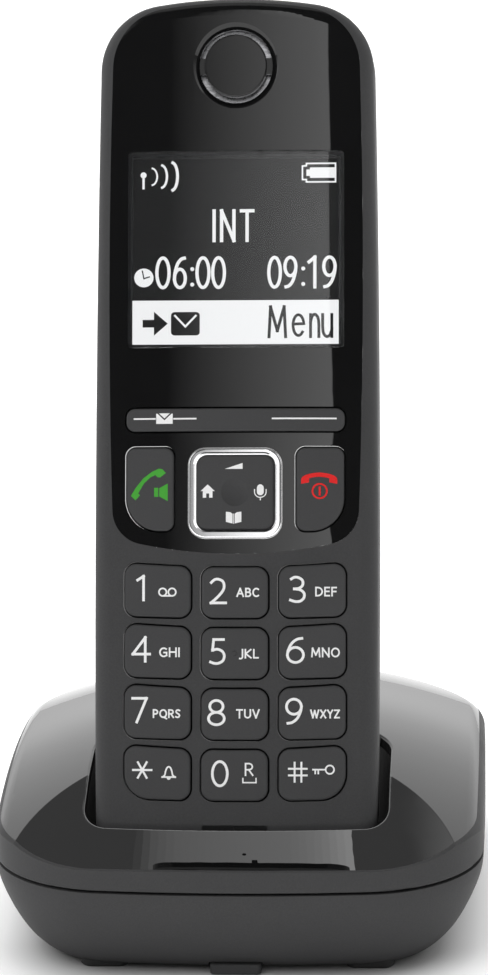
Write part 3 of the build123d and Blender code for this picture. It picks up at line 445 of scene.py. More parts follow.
def metal(name, colour, rough):
    """Plated or drawn metal with fine lines along it."""
    material, nodes = new_material(name, Metallic=1.0)
    stretch = nodes.new("ShaderNodeMapping")
    stretch.inputs["Scale"].default_value = BRUSHED_STRETCH
    nodes.link(nodes.places, stretch.inputs["Vector"])
    lines = nodes.new("ShaderNodeTexNoise", Scale=1.0 / BRUSHED, Detail=4.0)
    nodes.link(stretch.outputs["Vector"], lines.inputs["Vector"])
    nodes.link(nodes.spread(lines.outputs["Fac"], rough * 0.7, rough * 1.4), nodes.shader.inputs["Roughness"])
    nodes.link(
        nodes.tint(nodes.spread(nodes.noise(3.0), 0, 1), shade(colour, 0.93), shade(colour, 1.0)),
        nodes.shader.inputs["Base Color"],
    )
    nodes.link(nodes.bump(lines.outputs["Fac"], BRUSHED_DEPTH), nodes.shader.inputs["Normal"])
    return material


def ink(name, colour):
    """Printed ink, very slightly uneven."""
    material, nodes = new_material(name, IOR=PLASTIC_IOR)
    colours = nodes.tint(nodes.spread(nodes.noise(size=0.35), 0, 1), shade(colour, 0.94), colour)
    nodes.link(colours, nodes.shader.inputs["Base Color"])
    nodes.link(nodes.spread(nodes.noise(size=0.2), 0.39, 0.51), nodes.shader.inputs["Roughness"])
    return material


def lit(name, strength):
    """A lit area of the display with a barely visible dot pattern."""
    material, nodes = new_material(name, IOR=PLASTIC_IOR, Roughness=0.4, Specular_IOR_Level=0.0)
    nodes.shader.inputs["Base Color"].default_value = (0.02, 0.02, 0.02, 1)
    dots = nodes.tint(nodes.spread(nodes.noise(DISPLAY_DOTS), 0, 1), (0.95, 0.95, 0.95), (1, 1, 1))
    nodes.link(dots, nodes.shader.inputs["Emission Color"])
    nodes.shader.inputs["Emission Strength"].default_value = strength
    return material


def laminate(name, colour):
    """Circuit board: solder resist over woven glass, with faint traces."""
    material, nodes = new_material(name, IOR=PLASTIC_IOR, Roughness=0.35)
    traces = nodes.new("ShaderNodeTexVoronoi", feature="DISTANCE_TO_EDGE", distance="MANHATTAN")
    traces.inputs["Scale"].default_value = 1 / TRACE_PITCH
    nodes.link(nodes.places, traces.inputs["Vector"])
    gap = nodes.spread(traces.outputs["Distance"], 0, 1, source_low=0.03, source_high=0.09)
    nodes.link(nodes.tint(gap, shade(colour, 2.2), colour), nodes.shader.inputs["Base Color"])
    nodes.link(nodes.bump(nodes.noise(size=0.4), depth=0.01), nodes.shader.inputs["Normal"])
    return material


GREY = (0.0492, 0.0492, 0.0502)
KEY_GREY = shade(GREY, 1.16)
SIDE_GREY = shade(GREY, 0.9)
looks = {
    "matte": moulded("matte_plastic", GREY, 0.55, specular=0.1),
    "key": moulded("key_plastic", KEY_GREY, 0.4, grain=0.22, relief=0.004, vary=0.05, specular=0.0),
    "side": moulded("side_plastic", SIDE_GREY, 0.55, specular=0.36),
    "gloss": polished("gloss_plastic", (0.0054, 0.0054, 0.0056), 0.004),
    "well": moulded("well_plastic", (0.02, 0.02, 0.02), 0.45),
    "inner": moulded("inner_plastic", (0.03, 0.03, 0.032), 0.5, grain=0.5),
    "chrome": metal("chrome_plate", (0.88, 0.88, 0.89), 0.10),
    "steel": metal("spring_steel", (0.55, 0.55, 0.57), 0.28),
    "gold": metal("contact_gold", (0.85, 0.66, 0.35), 0.22),
    "board": laminate("circuit_board", (0.02, 0.11, 0.05)),
    "rubber": moulded("key_mat_rubber", (0.05, 0.05, 0.052), 0.7, grain=0.6, specular=0.0),
    "foot": moulded("foot_rubber", (0.022, 0.022, 0.022), 0.8, grain=0.5),
    "cell": polished("cell_sleeve", (0.10, 0.26, 0.12), 0.2),
    "socket": polished("socket_plastic", (0.02, 0.02, 0.02), 0.25),
}
glass, glass_nodes = new_material("display_glass", IOR=WINDOW_IOR, Transmission_Weight=1.0)
glass_nodes.shader.inputs["Base Color"].default_value = (0.92, 0.93, 0.94, 1)
smear = glass_nodes.spread(glass_nodes.noise(size=8.0), 0.0, 0.02)
glass_nodes.link(smear, glass_nodes.shader.inputs["Roughness"])
looks["glass"] = glass

DRESS = {
    "matte": ["handset_front_housing", "base_upper_shell", "base_lower_shell"],
    "side": ["handset_rear_housing", "battery_cover"],
    "gloss": ["face_panel", "earpiece_disc", "base_top_panel", "display_panel"],
    "well": ["cradle_insert", "contact_carrier"],
    "key": ["nav_key", "soft_key_bar", "talk_key", "end_key", "paging_key", "key_star", "key_0", "key_hash"]
    + [f"key_{digit}" for digit in range(1, 10)],
    "inner": ["display_frame", "nav_pivot", "paging_switch", "microphone"]
    + ["handset_components", "base_components"],
    "chrome": ["nav_ring"],
    "glass": ["display_window"],
    "board": ["handset_circuit_board", "base_circuit_board"],
    "rubber": ["keypad_mat"],
    "foot": ["base_feet"],
    "steel": ["key_domes", "battery_contacts", "handset_antenna", "base_antenna"]
    + ["handset_screws", "base_screws", "earpiece_speaker", "loudspeaker"],
    "gold": ["handset_charge_contacts", "charge_pin_left", "charge_pin_right", "socket_contacts"],
    "cell": ["battery_cell_left", "battery_cell_right"],
    "socket": ["power_socket", "line_socket"],
}
for look, nodes in DRESS.items():
    for node in nodes:
        mesh = frame["nodes"][node].data
        mesh.materials.clear()
        mesh.materials.append(looks[look])

white_ink = ink("white_ink", (0.80, 0.80, 0.80))
green_ink = ink("green_ink", (0.045, 0.32, 0.025))
red_ink = ink("red_ink", (0.66, 0.003, 0.003))
lcd_dark = lit("display_dark", 0.010)
lcd_white = lit("display_white", 1.0)
lcd_text = lit("display_text", 0.012)

# ------------------------------------------------------------ number keys

STROKE = 0.45 * MM
SMALL_STROKE = 0.27 * MM
DIGIT_GAP = 0.2  # between glyphs, in parts of their height
LETTER_GAP = 0.26
FACE_DEPTH = 3.2 * MM  # a key's foot lies deeper than this
DOT_RADIUS = 0.42 * MM
DOT_FLATNESS = 0.5
DIGITS = {
    "key_1": ("1", (0.175, 0.30, 0.305, 0.79)),
    "key_2": ("2", (0.120, 0.27, 0.385, 0.79)),
    "key_3": ("3", (0.155, 0.27, 0.405, 0.77)),
    "key_4": ("4", (0.105, 0.29, 0.400, 0.78)),
    "key_5": ("5", (0.120, 0.28, 0.370, 0.80)),
    "key_6": ("6", (0.110, 0.27, 0.390, 0.77)),
    "key_7": ("7", (0.105, 0.29, 0.355, 0.78)),
    "key_8": ("8", (0.090, 0.27, 0.368, 0.80)),
    "key_9": ("9", (0.097, 0.27, 0.360, 0.77)),
    "key_0": ("0", (0.150, 0.27, 0.415, 0.80)),
}
LETTERS = {
    "key_2": ("ABC", (0.525, 0.41, 0.868, 0.595)),
    "key_3": ("DEF", (0.545, 0.39, 0.870, 0.570)),
    "key_4": ("GHI", (0.525, 0.39, 0.838, 0.572)),
    "key_5": ("JKL", (0.565, 0.40, 0.865, 0.590)),
    "key_6": ("MNO", (0.485, 0.39, 0.915, 0.572)),
    "key_7": ("PQRS", (0.430, 0.39, 0.850, 0.555)),
    "key_8": ("TUV", (0.525, 0.42, 0.880, 0.605)),
    "key_9": ("WXYZ", (0.470, 0.39, 0.915, 0.555)),
}


def key_face(node):
    """The visible face of a key: its foot reaches further out than its face."""
    mesh = frame["nodes"][node].data
    top = max(vertex.co.dot(OUT) for vertex in mesh.vertices)
    points = [vertex.co for vertex in mesh.vertices if top - vertex.co.dot(OUT) < FACE_DEPTH]
    across = [point.dot(RIGHT) for point in points]
    along = [point.dot(UP) for point in points]
    return min(across), min(along), max(across), max(along)


def map_to(box):
    """Turns places in a unit box into places in a box."""
    return lambda x, y: (box[0] + x * (box[2] - box[0]), box[1] + y * (box[3] - box[1]))


for node, (digit, place) in DIGITS.items():
    sign = Sign()
    write(sign, digit, part_of(key_face(node), *place), STROKE, DIGIT_GAP)
    if node in LETTERS:
        letters, place = LETTERS[node]
        write(sign, letters, part_of(key_face(node), *place), SMALL_STROKE, LETTER_GAP)
    if node == "key_1":
        # Two loops joined by a line
        at = map_to(part_of(key_face(node), 0.505, 0.385, 0.79, 0.555))
        radius = (at(0, 1)[1] - at(0, 0)[1]) / 2 - SMALL_STROKE / 2
        for x in (0.25, 0.75):
            sign.ribbon(oval(at(x, 0.5), radius, radius, 0, 360), SMALL_STROKE, True)
        sign.ribbon([at(0.25, 0.09), at(0.75, 0.09)], SMALL_STROKE)
    if node == "key_0":
        at = map_to(part_of(key_face(node), 0.62, 0.345, 0.835, 0.75))
        # R above a tray
        write(sign, "R", (*at(0.17, 0.36), *at(0.78, 1.0)), SMALL_STROKE, DIGIT_GAP)
        tray = [at(0.04, 0.24), at(0.04, 0.04), at(0.96, 0.04), at(0.96, 0.24)]
        sign.ribbon(tray, SMALL_STROKE * 0.85)
    printed(f"legend_{node}", sign, node, node, white_ink)

STAR_STROKE = STROKE * 0.8
HASH_STROKE = STROKE * 0.72
sign = Sign()
at = map_to(part_of(key_face("key_star"), 0.135, 0.39, 0.412, 0.72))
centre = at(0.5, 0.5)
for turn in (0, 60, 120):
    reach = 0.5 * (at(1, 0)[0] - at(0, 0)[0]) * (1.0 if turn == 0 else 0.96)
    arm = Vector((math.cos(math.radians(turn)), math.sin(math.radians(turn)))) * reach
    ends = [(centre[0] - arm.x, centre[1] - arm.y), (centre[0] + arm.x, centre[1] + arm.y)]
    sign.ribbon(ends, STAR_STROKE)
# Bell: its outline, rim and clapper
at = map_to(part_of(key_face("key_star"), 0.575, 0.37, 0.775, 0.63))
BELL = [(0.02, 0.22), (0.2, 0.36), (0.26, 0.62), (0.36, 0.86), (0.5, 0.95)]
BELL += [(0.64, 0.86), (0.74, 0.62), (0.8, 0.36), (0.98, 0.22)]
sign.ribbon([at(x, y) for x, y in smooth(BELL)], SMALL_STROKE)
sign.ribbon([at(0.0, 0.22), at(1.0, 0.22)], SMALL_STROKE)
sign.area([at(x, y) for x, y in oval((0.5, 0.17), 0.16, 0.15, 180, 360, 12)])
printed("legend_key_star", sign, "key_star", "key_star", white_ink)

sign = Sign()
at = map_to(part_of(key_face("key_hash"), 0.155, 0.35, 0.42, 0.70))
for x in (0.32, 0.70):
    sign.ribbon([at(x, 0), at(x, 1)], HASH_STROKE)
for y in (0.33, 0.68):
    sign.ribbon([at(0, y), at(1, y)], HASH_STROKE)
# Key: a ring, its shaft and two teeth
at = map_to(part_of(key_face("key_hash"), 0.515, 0.48, 0.84, 0.665))
radius = (at(0, 1)[1] - at(0, 0)[1]) / 2 - SMALL_STROKE / 2
ring = at(1, 0.5)[0] - radius - SMALL_STROKE / 2
sign.ribbon(oval((ring, at(0, 0.5)[1]), radius, radius, 0, 360), SMALL_STROKE, True)
sign.ribbon([at(0, 0.5), (ring - radius, at(0, 0.5)[1])], SMALL_STROKE)
for x in (0.1, 0.24):
    sign.ribbon([at(x, 0.5), at(x, 0.12)], SMALL_STROKE)
printed("legend_key_hash", sign, "key_hash", "key_hash", white_ink)

# Raised dot on the middle key
place = map_to(key_face("key_5"))(0.5, 0.5)
hit = tree("key_5").ray_cast(RIGHT * place[0] + UP * place[1] + OUT * ABOVE, INTO)[0]
build = bmesh.new()
bmesh.ops.create_uvsphere(build, u_segments=24, v_segments=16, radius=DOT_RADIUS)
turn = Matrix((RIGHT, UP, OUT)).transposed().to_4x4()
flatten = Matrix.Diagonal((1, 1, DOT_FLATNESS, 1))
bmesh.ops.transform(build, matrix=Matrix.Translation(hit) @ turn @ flatten, verts=build.verts)
dot_mesh = bpy.data.meshes.new("raised_dot")
build.to_mesh(dot_mesh)
build.free()
dot = bpy.data.objects.new("raised_dot", dot_mesh)
bpy.context.scene.collection.objects.link(dot)
dot_mesh.materials.append(looks["key"])
dot_mesh.polygons.foreach_set("use_smooth", [True] * len(dot_mesh.polygons))
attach(dot, "key_5")

# ------------------------------------------------------------ talk and end keys

POWER_RING = 0.30 * MM
POWER_BAR = 0.34 * MM
HANDLE = [(0.0, 0.14), (0.14, 0.40), (0.36, 0.70), (0.60, 0.90), (0.80, 1.0), (0.90, 0.98)]
HANDLE += [(1.0, 0.86), (0.83, 0.72), (0.76, 0.73), (0.70, 0.80), (0.55, 0.72), (0.38, 0.54)]
HANDLE += [(0.27, 0.34), (0.21, 0.22), (0.26, 0.16), (0.13, 0.0)]
sign = Sign()
at = map_to(part_of(key_face("talk_key"), 0.09, 0.37, 0.835, 0.75))
sign.area([at(x, y) for x, y in HANDLE])
# Loudspeaker
at = map_to(part_of(key_face("talk_key"), 0.585, 0.36, 0.875, 0.57))
sign.area([at(0.0, 0.24), at(0.30, 0.24), at(0.30, 0.76), at(0.0, 0.76)])
sign.area([at(0.38, 0.26), at(1.0, 0.0), at(1.0, 1.0), at(0.38, 0.74)])
printed("sign_talk", sign, "talk_key", "talk_key", green_ink)

sign = Sign()
at = map_to(part_of(key_face("end_key"), 0.10, 0.565, 0.86, 0.70))
# Handset lying down, then the power sign
REST = smooth([(0.0, 0.36), (0.04, 0.62), (0.2, 0.86), (0.5, 1.0), (0.8, 0.86), (0.96, 0.62), (1.0, 0.36)])
REST += [(1.0, 0.0), (0.78, 0.12), (0.78, 0.48)]
REST += smooth([(0.70, 0.56), (0.5, 0.62), (0.30, 0.56)])
REST += [(0.22, 0.48), (0.22, 0.12), (0.0, 0.0)]
sign.area([at(x, y) for x, y in REST])
at = map_to(part_of(key_face("end_key"), 0.32, 0.385, 0.66, 0.57))
radius = (at(1, 0)[0] - at(0, 0)[0]) / 2 - POWER_RING / 2
sign.ribbon(oval(at(0.5, 0.5), radius, radius, 0, 360), POWER_RING, True)
sign.ribbon([at(0.5, 0.27), at(0.5, 0.73)], POWER_BAR)
printed("sign_end", sign, "end_key", "end_key", red_ink)

# ------------------------------------------------------------ four-way key

HOLDER_STROKE = 0.17 * MM
SPINE_STROKE = 0.13 * MM
HOUSE = [(0.5, 1.0), (0.0, 0.5), (0.16, 0.5), (0.16, 0.0), (0.40, 0.0), (0.40, 0.32)]
HOUSE += [(0.60, 0.32), (0.60, 0.0), (0.84, 0.0), (0.84, 0.5), (1.0, 0.5)]
LEAF = [(0.07, 0.0), (0.5, 0.14), (0.5, 1.0), (0.22, 0.96), (0.07, 0.82)]
sign = Sign()
face_box = key_face("nav_key")
# Volume wedge
at = map_to(part_of(face_box, 0.37, 0.815, 0.60, 0.895))
sign.area([at(0, 0), at(1, 0), at(1, 1)])
at = map_to(part_of(face_box, 0.055, 0.425, 0.24, 0.605))
sign.area([at(x, y) for x, y in HOUSE])
# Microphone in its holder
at = map_to(part_of(face_box, 0.745, 0.395, 0.915, 0.605))
capsule = oval((0.5, 0.76), 0.26, 0.24, 0, 180, 10) + oval((0.5, 0.50), 0.26, 0.20, 180, 360, 10)
sign.area([at(x, y) for x, y in capsule])
holder = [(0.06, 0.66), *oval((0.5, 0.5), 0.44, 0.34, 180, 360, 14), (0.94, 0.66)]
sign.ribbon([at(x, y) for x, y in holder], HOLDER_STROKE)
sign.ribbon([at(0.5, 0.16), at(0.5, 0.0)], HOLDER_STROKE)
# Open book
at = map_to(part_of(face_box, 0.385, 0.075, 0.585, 0.235))
for side in (-1, 1):
    sign.area([at(0.5 + side * x, y) for x, y in LEAF])
sign.ribbon([at(0.5, 0.0), at(0.5, 0.80)], SPINE_STROKE)
printed("signs_nav_key", sign, "nav_key", "nav_key", white_ink)

# ------------------------------------------------------------ soft key bar

sign = Sign()
bar = key_face("soft_key_bar")
for left, right in ((0.037, 0.132), (0.220, 0.320), (0.672, 0.960)):
    at = map_to(part_of(bar, left, 0.5, right, 0.6))
    sign.ribbon(straight([at(0, 0.5), at(1, 0.5)], 16), SMALL_STROKE)
# Envelope and its flap
at = map_to(part_of(bar, 0.138, 0.33, 0.214, 0.79))
pocket = [at(0, 0), at(1, 0), at(1, 0.97), at(0.93, 0.97), at(0.5, 0.33), at(0.07, 0.97), at(0, 0.97)]
sign.area(pocket)
sign.area([at(0.17, 1.0), at(0.5, 0.52), at(0.83, 1.0)])
printed("signs_soft_key_bar", sign, "soft_key_bar", "soft_key_bar", white_ink)

# ------------------------------------------------------------ display content

window = span("display_window")
WORD_STROKE = 0.58 * MM
TIME_STROKE = 0.56 * MM
TIME_ROW = (0.303, 0.472)  # its low and high end in the window
MENU_ROW = (0.050, 0.218)
CLOCK = (0.024, 0.314, 0.114, 0.410)
ENVELOPE = (0.196, 0.066, 0.330, 0.186)
HAND_STROKE = 0.22 * MM
FLAP_STROKE = 0.34 * MM
MAST_STROKE = 0.40 * MM
MAST_TIP = 0.52 * MM
CASE_STROKE = 0.27 * MM
# Each arc of the signal: its place, low and high end and width in millimetres
ARCS = ((0.28, 0.22, 0.80, 0.30), (0.52, 0.13, 0.90, 0.40), (0.78, 0.04, 0.99, 0.50))
CASE = [(0.15, 0.04), (0.97, 0.04), (0.97, 0.96), (0.15, 0.96)]
CASE += [(0.15, 0.84), (0.04, 0.84), (0.04, 0.16), (0.15, 0.16)]
CORE = [(0.25, 0.24), (0.97, 0.24), (0.97, 0.76), (0.25, 0.76)]
CORE += [(0.25, 0.66), (0.15, 0.66), (0.15, 0.34), (0.25, 0.34)]
# Each glyph of the two times: its left and right end in the window
TIMES = (("0", 0.122, 0.194), ("6", 0.204, 0.270), (":", 0.287, 0.300))
TIMES += (("0", 0.309, 0.380), ("0", 0.382, 0.452))
TIMES += (("0", 0.643, 0.712), ("9", 0.718, 0.784), (":", 0.803, 0.816))
TIMES += (("1", 0.830, 0.872), ("9", 0.898, 0.966))
# Each letter of the word: its left and right end in the window and its stroke in millimetres
MENU = (("M", 0.645, 0.736, 0.52), ("e", 0.757, 0.820, 0.48))
MENU += (("n", 0.838, 0.890, 0.50), ("u", 0.894, 0.950, 0.50))


def shown(name, draw, material, lift):
    sign = Sign()
    draw(sign)
    printed(name, sign, "display_panel", "handset", material, lift * MM)


def background(sign):
    at = map_to(part_of(window, 0.020, 0.025, 0.975, 0.970))
    sign.area([at(0, 0), at(1, 0), at(1, 1), at(0, 1)])


def white_signs(sign):
    at = map_to(part_of(window, 0.016, 0.020, 0.975, 0.245))
    sign.area([at(0, 0), at(1, 0), at(1, 1), at(0, 1)])
    # Signal: a mast and three arcs
    at = map_to(part_of(window, 0.050, 0.805, 0.240, 0.955))
    sign.disc(at(0.085, 0.56), MAST_TIP, 20)
    sign.ribbon([at(0.085, 0.55), at(0.085, 0.12)], MAST_STROKE)
    for x, low, high, width in ARCS:
        arc = oval((x, (low + high) / 2), 0.14, (high - low) / 2, -80, 80, 14)
        sign.ribbon([at(px, py) for px, py in arc], width * MM)
    # Battery: outline with a nose, filled
    at = map_to(part_of(window, 0.800, 0.845, 0.965, 0.948))
    sign.ribbon([at(x, y) for x, y in CASE], CASE_STROKE, True)
    sign.area([at(x, y) for x, y in CORE])
    write(sign, "INT", part_of(window, 0.388, 0.543, 0.584, 0.712), WORD_STROKE, 0.34)
    low, high = TIME_ROW
    for digit, left, right in TIMES:
        write(sign, digit, part_of(window, left, low, right, high), TIME_STROKE, DIGIT_GAP)
    at = map_to(part_of(window, *CLOCK))
    sign.area([at(x, y) for x, y in oval((0.5, 0.5), 0.5, 0.5, 0, 360, 36)[:-1]])


def dark_signs(sign):
    # Hands of the clock
    at = map_to(part_of(window, *CLOCK))
    sign.ribbon([at(0.42, 0.86), at(0.5, 0.46), at(0.78, 0.55)], HAND_STROKE)
    # Arrow
    at = map_to(part_of(window, 0.064, 0.066, 0.181, 0.188))
    arrow = [(0.0, 0.34), (0.45, 0.34), (0.45, 0.0), (1.0, 0.5), (0.45, 1.0), (0.45, 0.66), (0.0, 0.66)]
    sign.area([at(x, y) for x, y in arrow])
    # Envelope with rounded corners
    at = map_to(part_of(window, *ENVELOPE))
    outline = []
    for x, y, start in ((0.86, 0.86, 0), (0.14, 0.86, 90), (0.14, 0.14, 180), (0.86, 0.14, 270)):
        outline += oval((x, y), 0.14, 0.14, start, start + 90, 6)
    sign.area([at(x, y) for x, y in outline])
    low, high = MENU_ROW
    for letter, left, right, stroke in MENU:
        write(sign, letter, part_of(window, left, low, right, high), stroke * MM, DIGIT_GAP)


def flap_signs(sign):
    at = map_to(part_of(window, *ENVELOPE))
    sign.ribbon([at(0.14, 0.84), at(0.5, 0.38), at(0.86, 0.84)], FLAP_STROKE)


shown("display_ground", background, lcd_dark, 0.03)
shown("display_signs_white", white_signs, lcd_white, 0.06)
shown("display_signs_dark", dark_signs, lcd_text, 0.09)
shown("display_flap", flap_signs, lcd_white, 0.12)

# ------------------------------------------------------------ floor, light and camera

FLOOR_RADIUS = 6.0
FOOT_INSET = 0.021  # from the outline of the base to where its footprint's corners start
FLOOR_PAINTED_SHADOW, FLOOR_FAR = 0.34, 0.76  # base colour: painted shadow next to the base, and the floor's own pale colour away from it
FLOOR_SHADE = (0.009, 0.021)  # distances from the footprint over which the painted shadow fades out
# Painted light: the floor glows, with no glow next to the base as painted shade
FLOOR_PAINTED_GLOW = 0.72
# distances from the footprint over which the painted glow rises
FLOOR_GLOW_SHADE = (0.013, 0.034)
WHITE = (1, 1, 1, 1)


def studio_floor():
    """Pale floor with a painted shadow round the footprint of the base, and a painted glow that is weakest
    next to it.
    """
    floor_mesh = bpy.data.meshes.new("floor")
    build = bmesh.new()
    bmesh.ops.create_circle(build, cap_ends=True, segments=96, radius=FLOOR_RADIUS)
    build.to_mesh(floor_mesh)
    build.free()
    floor = bpy.data.objects.new("floor", floor_mesh)
    bpy.context.scene.collection.objects.link(floor)
    material, nodes = new_material("pale_floor_painted_shade", Roughness=0.9, Specular_IOR_Level=0.1)
    # Distance from the footprint of the base, which is a rounded box
    high = cad_box[1]
    half = nodes.new("ShaderNodeVectorMath", operation="ABSOLUTE")
    nodes.link(nodes.places, half.inputs[0])
    past = nodes.new("ShaderNodeVectorMath", operation="SUBTRACT")
    nodes.link(half.outputs[0], past.inputs[0])
    past.inputs[1].default_value = (high[0] - FOOT_INSET, high[1] - FOOT_INSET, 0)
    kept = nodes.new("ShaderNodeVectorMath", operation="MAXIMUM")
    nodes.link(past.outputs[0], kept.inputs[0])
    kept.inputs[1].default_value = (0, 0, 0)
    length = nodes.new("ShaderNodeVectorMath", operation="LENGTH")
    nodes.link(kept.outputs[0], length.inputs[0])
    reach = length.outputs["Value"]
    # Painted shadow: the floor's colour darkens towards the footprint of the base
    colours = nodes.tint(nodes.spread(reach, 0, 1, *FLOOR_SHADE), (FLOOR_PAINTED_SHADOW,) * 3, (FLOOR_FAR,) * 3)
    nodes.link(colours, nodes.shader.inputs["Base Color"])
    # Painted light and shade: the floor glows far from the base and not next to it
    glow = nodes.spread(reach, 0.0, FLOOR_PAINTED_GLOW, *FLOOR_GLOW_SHADE)
    nodes.shader.inputs["Emission Color"].default_value = WHITE
    nodes.link(glow, nodes.shader.inputs["Emission Strength"])
    floor_mesh.materials.append(material)


# Each panel: its brightness, and in degrees its bearing and its height above the horizon
FRONT_PANEL = 2.1
FRONT_BEARING = (-40, 8.3)
FRONT_FADE = (-13.5, 8.3)
FRONT_HEIGHT = (4, 60)
PATCH_BEARING = (9.8, 14)
PATCH_HEIGHT = (54, 70)
BACKDROP = 1.8
BACKDROP_BEARING = (70, 120)
BACKDROP_LOW = (-3, 15)
BACKDROP_HIGH = (42, 53)
SIDE_STRIP = 0.5
SIDE_BEARING = (-100, -50)
SIDE_HEIGHT = (5, 50)
FILL = 0.04


def studio_light():
    """Soft panels round the object, drawn in the world as brightness over direction."""
    world = bpy.data.worlds.new("studio")
    bpy.context.scene.world = world
    world.use_nodes = True
    tree_ = world.node_tree

    def node(kind, **settings):
        made = tree_.nodes.new(kind)
        for key, value in settings.items():
            setattr(made, key, value)
        return made

    def feed(value, socket):
        if isinstance(value, (int, float)):
            socket.default_value = value
        else:
            tree_.links.new(value, socket)

    def maths(operation, a, b=0.0):
        made = node("ShaderNodeMath", operation=operation)
        feed(a, made.inputs[0])
        feed(b, made.inputs[1])
        return made.outputs[0]

    def ramp(value, low, high, out_low=0.0, out_high=1.0, style="SMOOTHSTEP"):
        made = node("ShaderNodeMapRange", interpolation_type=style)
        feed(value, made.inputs["Value"])
        made.inputs["From Min"].default_value = low
        made.inputs["From Max"].default_value = high
        made.inputs["To Min"].default_value = out_low
        made.inputs["To Max"].default_value = out_high
        return made.outputs["Result"]

    direction = node("ShaderNodeTexCoord").outputs["Generated"]
    parts = node("ShaderNodeSeparateXYZ")
    tree_.links.new(direction, parts.inputs[0])
    x, y, z = parts.outputs
    degrees = 180 / math.pi
    front = maths("MULTIPLY", maths("ARCTAN2", x, maths("MULTIPLY", y, -1.0)), degrees)
    back = maths("MULTIPLY", maths("ARCTAN2", x, y), degrees)
    height = maths("MULTIPLY", maths("ARCSINE", z), degrees)

    def between(value, ends, soft):
        low, high = ends
        rise = ramp(value, low - soft, low + soft)
        return maths("MULTIPLY", rise, ramp(value, high - soft, high + soft, 1.0, 0.0))

    # Panel in front: sharp on its right side, fading out to the left
    fade = ramp(front, *FRONT_FADE, 0.0, FRONT_PANEL, "LINEAR")
    across = maths("MULTIPLY", fade, between(front, FRONT_BEARING, 0.1))
    panel = maths("MULTIPLY", across, between(height, FRONT_HEIGHT, 2))
    # Dim patch above and behind
    above = maths("MULTIPLY", between(back, PATCH_BEARING, 2.2), between(height, PATCH_HEIGHT, 2))
    # Bright backdrop behind, dimmer low down and overhead
    low_part = ramp(height, *BACKDROP_LOW, 0.55 * BACKDROP, BACKDROP)
    fade = maths("MULTIPLY", low_part, ramp(height, *BACKDROP_HIGH, 1.0, 0.27))
    behind = maths("MULTIPLY", ramp(maths("ABSOLUTE", back), *BACKDROP_BEARING, 1.0, 0.0), fade)
    # Dim strip at the left
    strip = maths("MULTIPLY", between(front, SIDE_BEARING, 8), between(height, SIDE_HEIGHT, 8))
    total = maths("ADD", panel, above)
    total = maths("ADD", total, behind)
    total = maths("ADD", total, maths("MULTIPLY", strip, SIDE_STRIP))
    total = maths("ADD", total, FILL)
    sky = tree_.nodes["Background"]
    seen = node("ShaderNodeLightPath").outputs["Is Camera Ray"]
    strength = node("ShaderNodeMix", data_type="FLOAT")
    tree_.links.new(seen, strength.inputs["Factor"])
    tree_.links.new(total, strength.inputs[2])
    strength.inputs[3].default_value = 1.0
    sky.inputs["Color"].default_value = WHITE
    tree_.links.new(strength.outputs[0], sky.inputs["Strength"])


SOFT_LIGHT_SIZE = 0.9
SOFT_LIGHT_AIM = Vector((0, 0, 0.08))


def soft_light(name, place, power):
    """An area light that lights without showing in the gloss."""
    data = bpy.data.lights.new(name, "AREA")
    data.shape = "SQUARE"
    data.size = SOFT_LIGHT_SIZE
    data.energy = power
    light = bpy.data.objects.new(name, data)
    light.location = place
    light.rotation_mode = "QUATERNION"
    light.rotation_quaternion = (SOFT_LIGHT_AIM - Vector(place)).to_track_quat("-Z", "Y")
    light.visible_glossy = False
    light.visible_camera = False
    bpy.context.scene.collection.objects.link(light)


# Brightness of the upper panel against its bearing behind the base, in degrees
UPPER_PANEL = ((-18.5, 0.0), (-16.5, 0.52), (-14.3, 0.8), (-10.7, 0.95))
UPPER_PANEL += ((-3.0, 1.18), (-1.0, 1.36), (0.8, 1.65), (3.8, 2.5))
UPPER_STRIPS = 28
UPPER_HEIGHT = 61.0  # degrees above the horizon
UPPER_REACH = 2.0  # from the apron to the panel
UPPER_LENGTH = 0.9
APRON_HEIGHT = 0.024
ENERGY = 4  # of a strip of unit size and brightness

# Reflections show only nodes whose names start like this, so the handset's lower end doesn't hide the
# upper panel from the apron
MIRRORED_NODES = ("base_", "contact_carrier", "cradle_insert", "line_socket", "power_socket")
MIRRORED_NODES += ("socket_contacts", "paging_", "charge_pin_")
MIRRORED_NODES += ("display_", "earpiece_", "face_panel", "soft_key_bar")


def bearing(azimuth, height):
    azimuth, height = math.radians(azimuth), math.radians(height)
    flat = math.cos(height)
    return Vector((math.sin(azimuth) * flat, math.cos(azimuth) * flat, math.sin(height)))


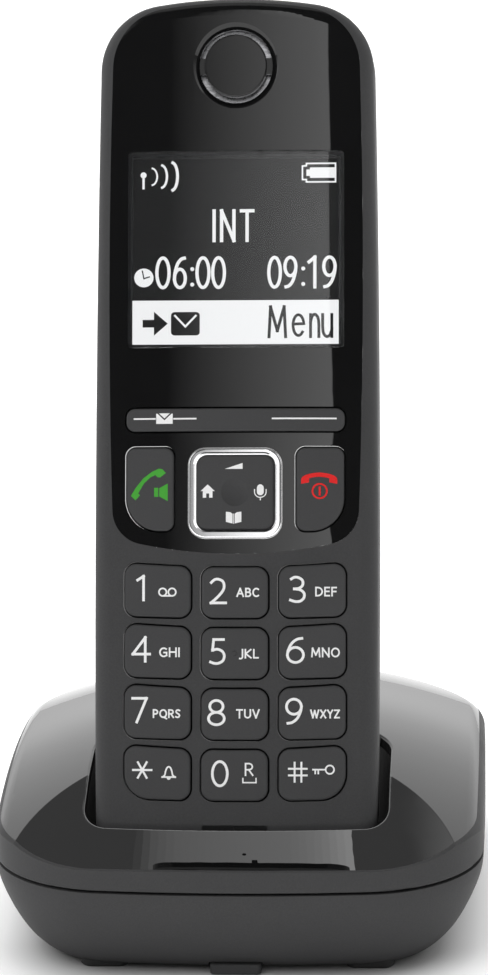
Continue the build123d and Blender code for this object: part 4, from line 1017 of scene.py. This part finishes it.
def upper_panel():
    """Strips of light behind and above, which light the top panel of the base alone."""
    gloss = bpy.data.collections.new("gloss_of_the_base")
    gloss.objects.link(frame["nodes"]["base_top_panel"])
    low, high = UPPER_PANEL[0][0], UPPER_PANEL[-1][0]
    middle = bearing((low + high) / 2, UPPER_HEIGHT)
    side = middle.cross(Vector((0, 0, 1))).normalized()
    top = side.cross(middle)
    start = Vector((0, cad_box[0][1], APRON_HEIGHT))
    edges = []
    for step in range(UPPER_STRIPS + 1):
        way = bearing(low + (high - low) * step / UPPER_STRIPS, UPPER_HEIGHT)
        edges.append((way / way.dot(middle) * UPPER_REACH).dot(side))
    for step in range(UPPER_STRIPS):
        azimuth = low + (high - low) * (step + 0.5) / UPPER_STRIPS
        for (a, dim), (b, bright) in zip(UPPER_PANEL, UPPER_PANEL[1:]):
            if a <= azimuth <= b:
                strength = dim + (bright - dim) * (azimuth - a) / (b - a)
        data = bpy.data.lights.new(f"upper_strip_{step}", "AREA")
        data.shape = "RECTANGLE"
        data.size = abs(edges[step + 1] - edges[step])
        data.size_y = UPPER_LENGTH
        data.energy = ENERGY * data.size * data.size_y * strength
        light = bpy.data.objects.new(data.name, data)
        across = (edges[step] + edges[step + 1]) / 2
        place = start + middle * UPPER_REACH + side * across
        facing = Matrix((-side, top, middle)).transposed().to_4x4()
        light.matrix_world = Matrix.Translation(place) @ facing
        light.visible_camera = False
        light.light_linking.receiver_collection = gloss
        bpy.context.scene.collection.objects.link(light)


CAMERA_ANGLES = (4.014, 15.0, -1.15)  # bearing, height and roll in degrees
CAMERA_TARGET = (0.00205, -0.0239, 0.082)
CAMERA_DISTANCE = 0.620
CAMERA_LENS = 135.75


def studio_camera():
    """Camera in front, a little above, with a slight roll."""
    azimuth, elevation, roll = (math.radians(angle) for angle in CAMERA_ANGLES)
    flat = math.cos(elevation)
    back = Vector((math.sin(azimuth) * flat, -math.cos(azimuth) * flat, math.sin(elevation)))
    ahead = -back
    side = ahead.cross(Vector((0, 0, 1))).normalized()
    top = side.cross(ahead)
    right = side * math.cos(roll) + top * math.sin(roll)
    over = top * math.cos(roll) - side * math.sin(roll)
    data = bpy.data.cameras.new("camera")
    data.sensor_width = 36.0
    data.lens = CAMERA_LENS
    data.clip_start = 0.01
    data.clip_end = 50
    camera = bpy.data.objects.new("camera", data)
    place = Vector(CAMERA_TARGET) + back * CAMERA_DISTANCE
    camera.matrix_world = Matrix.Translation(place) @ Matrix((right, over, back)).transposed().to_4x4()
    bpy.context.scene.collection.objects.link(camera)
    bpy.context.scene.camera = camera


studio_floor()
studio_light()
soft_light("key_light", (-0.7, -0.9, 1.2), power=10.2)
soft_light("fill_light", (0.9, -0.8, 0.7), power=2.0)
for name, piece in frame["nodes"].items():
    piece.visible_glossy = name.startswith(MIRRORED_NODES)
upper_panel()
studio_camera()
bpy.context.scene.view_settings.view_transform = "Standard"
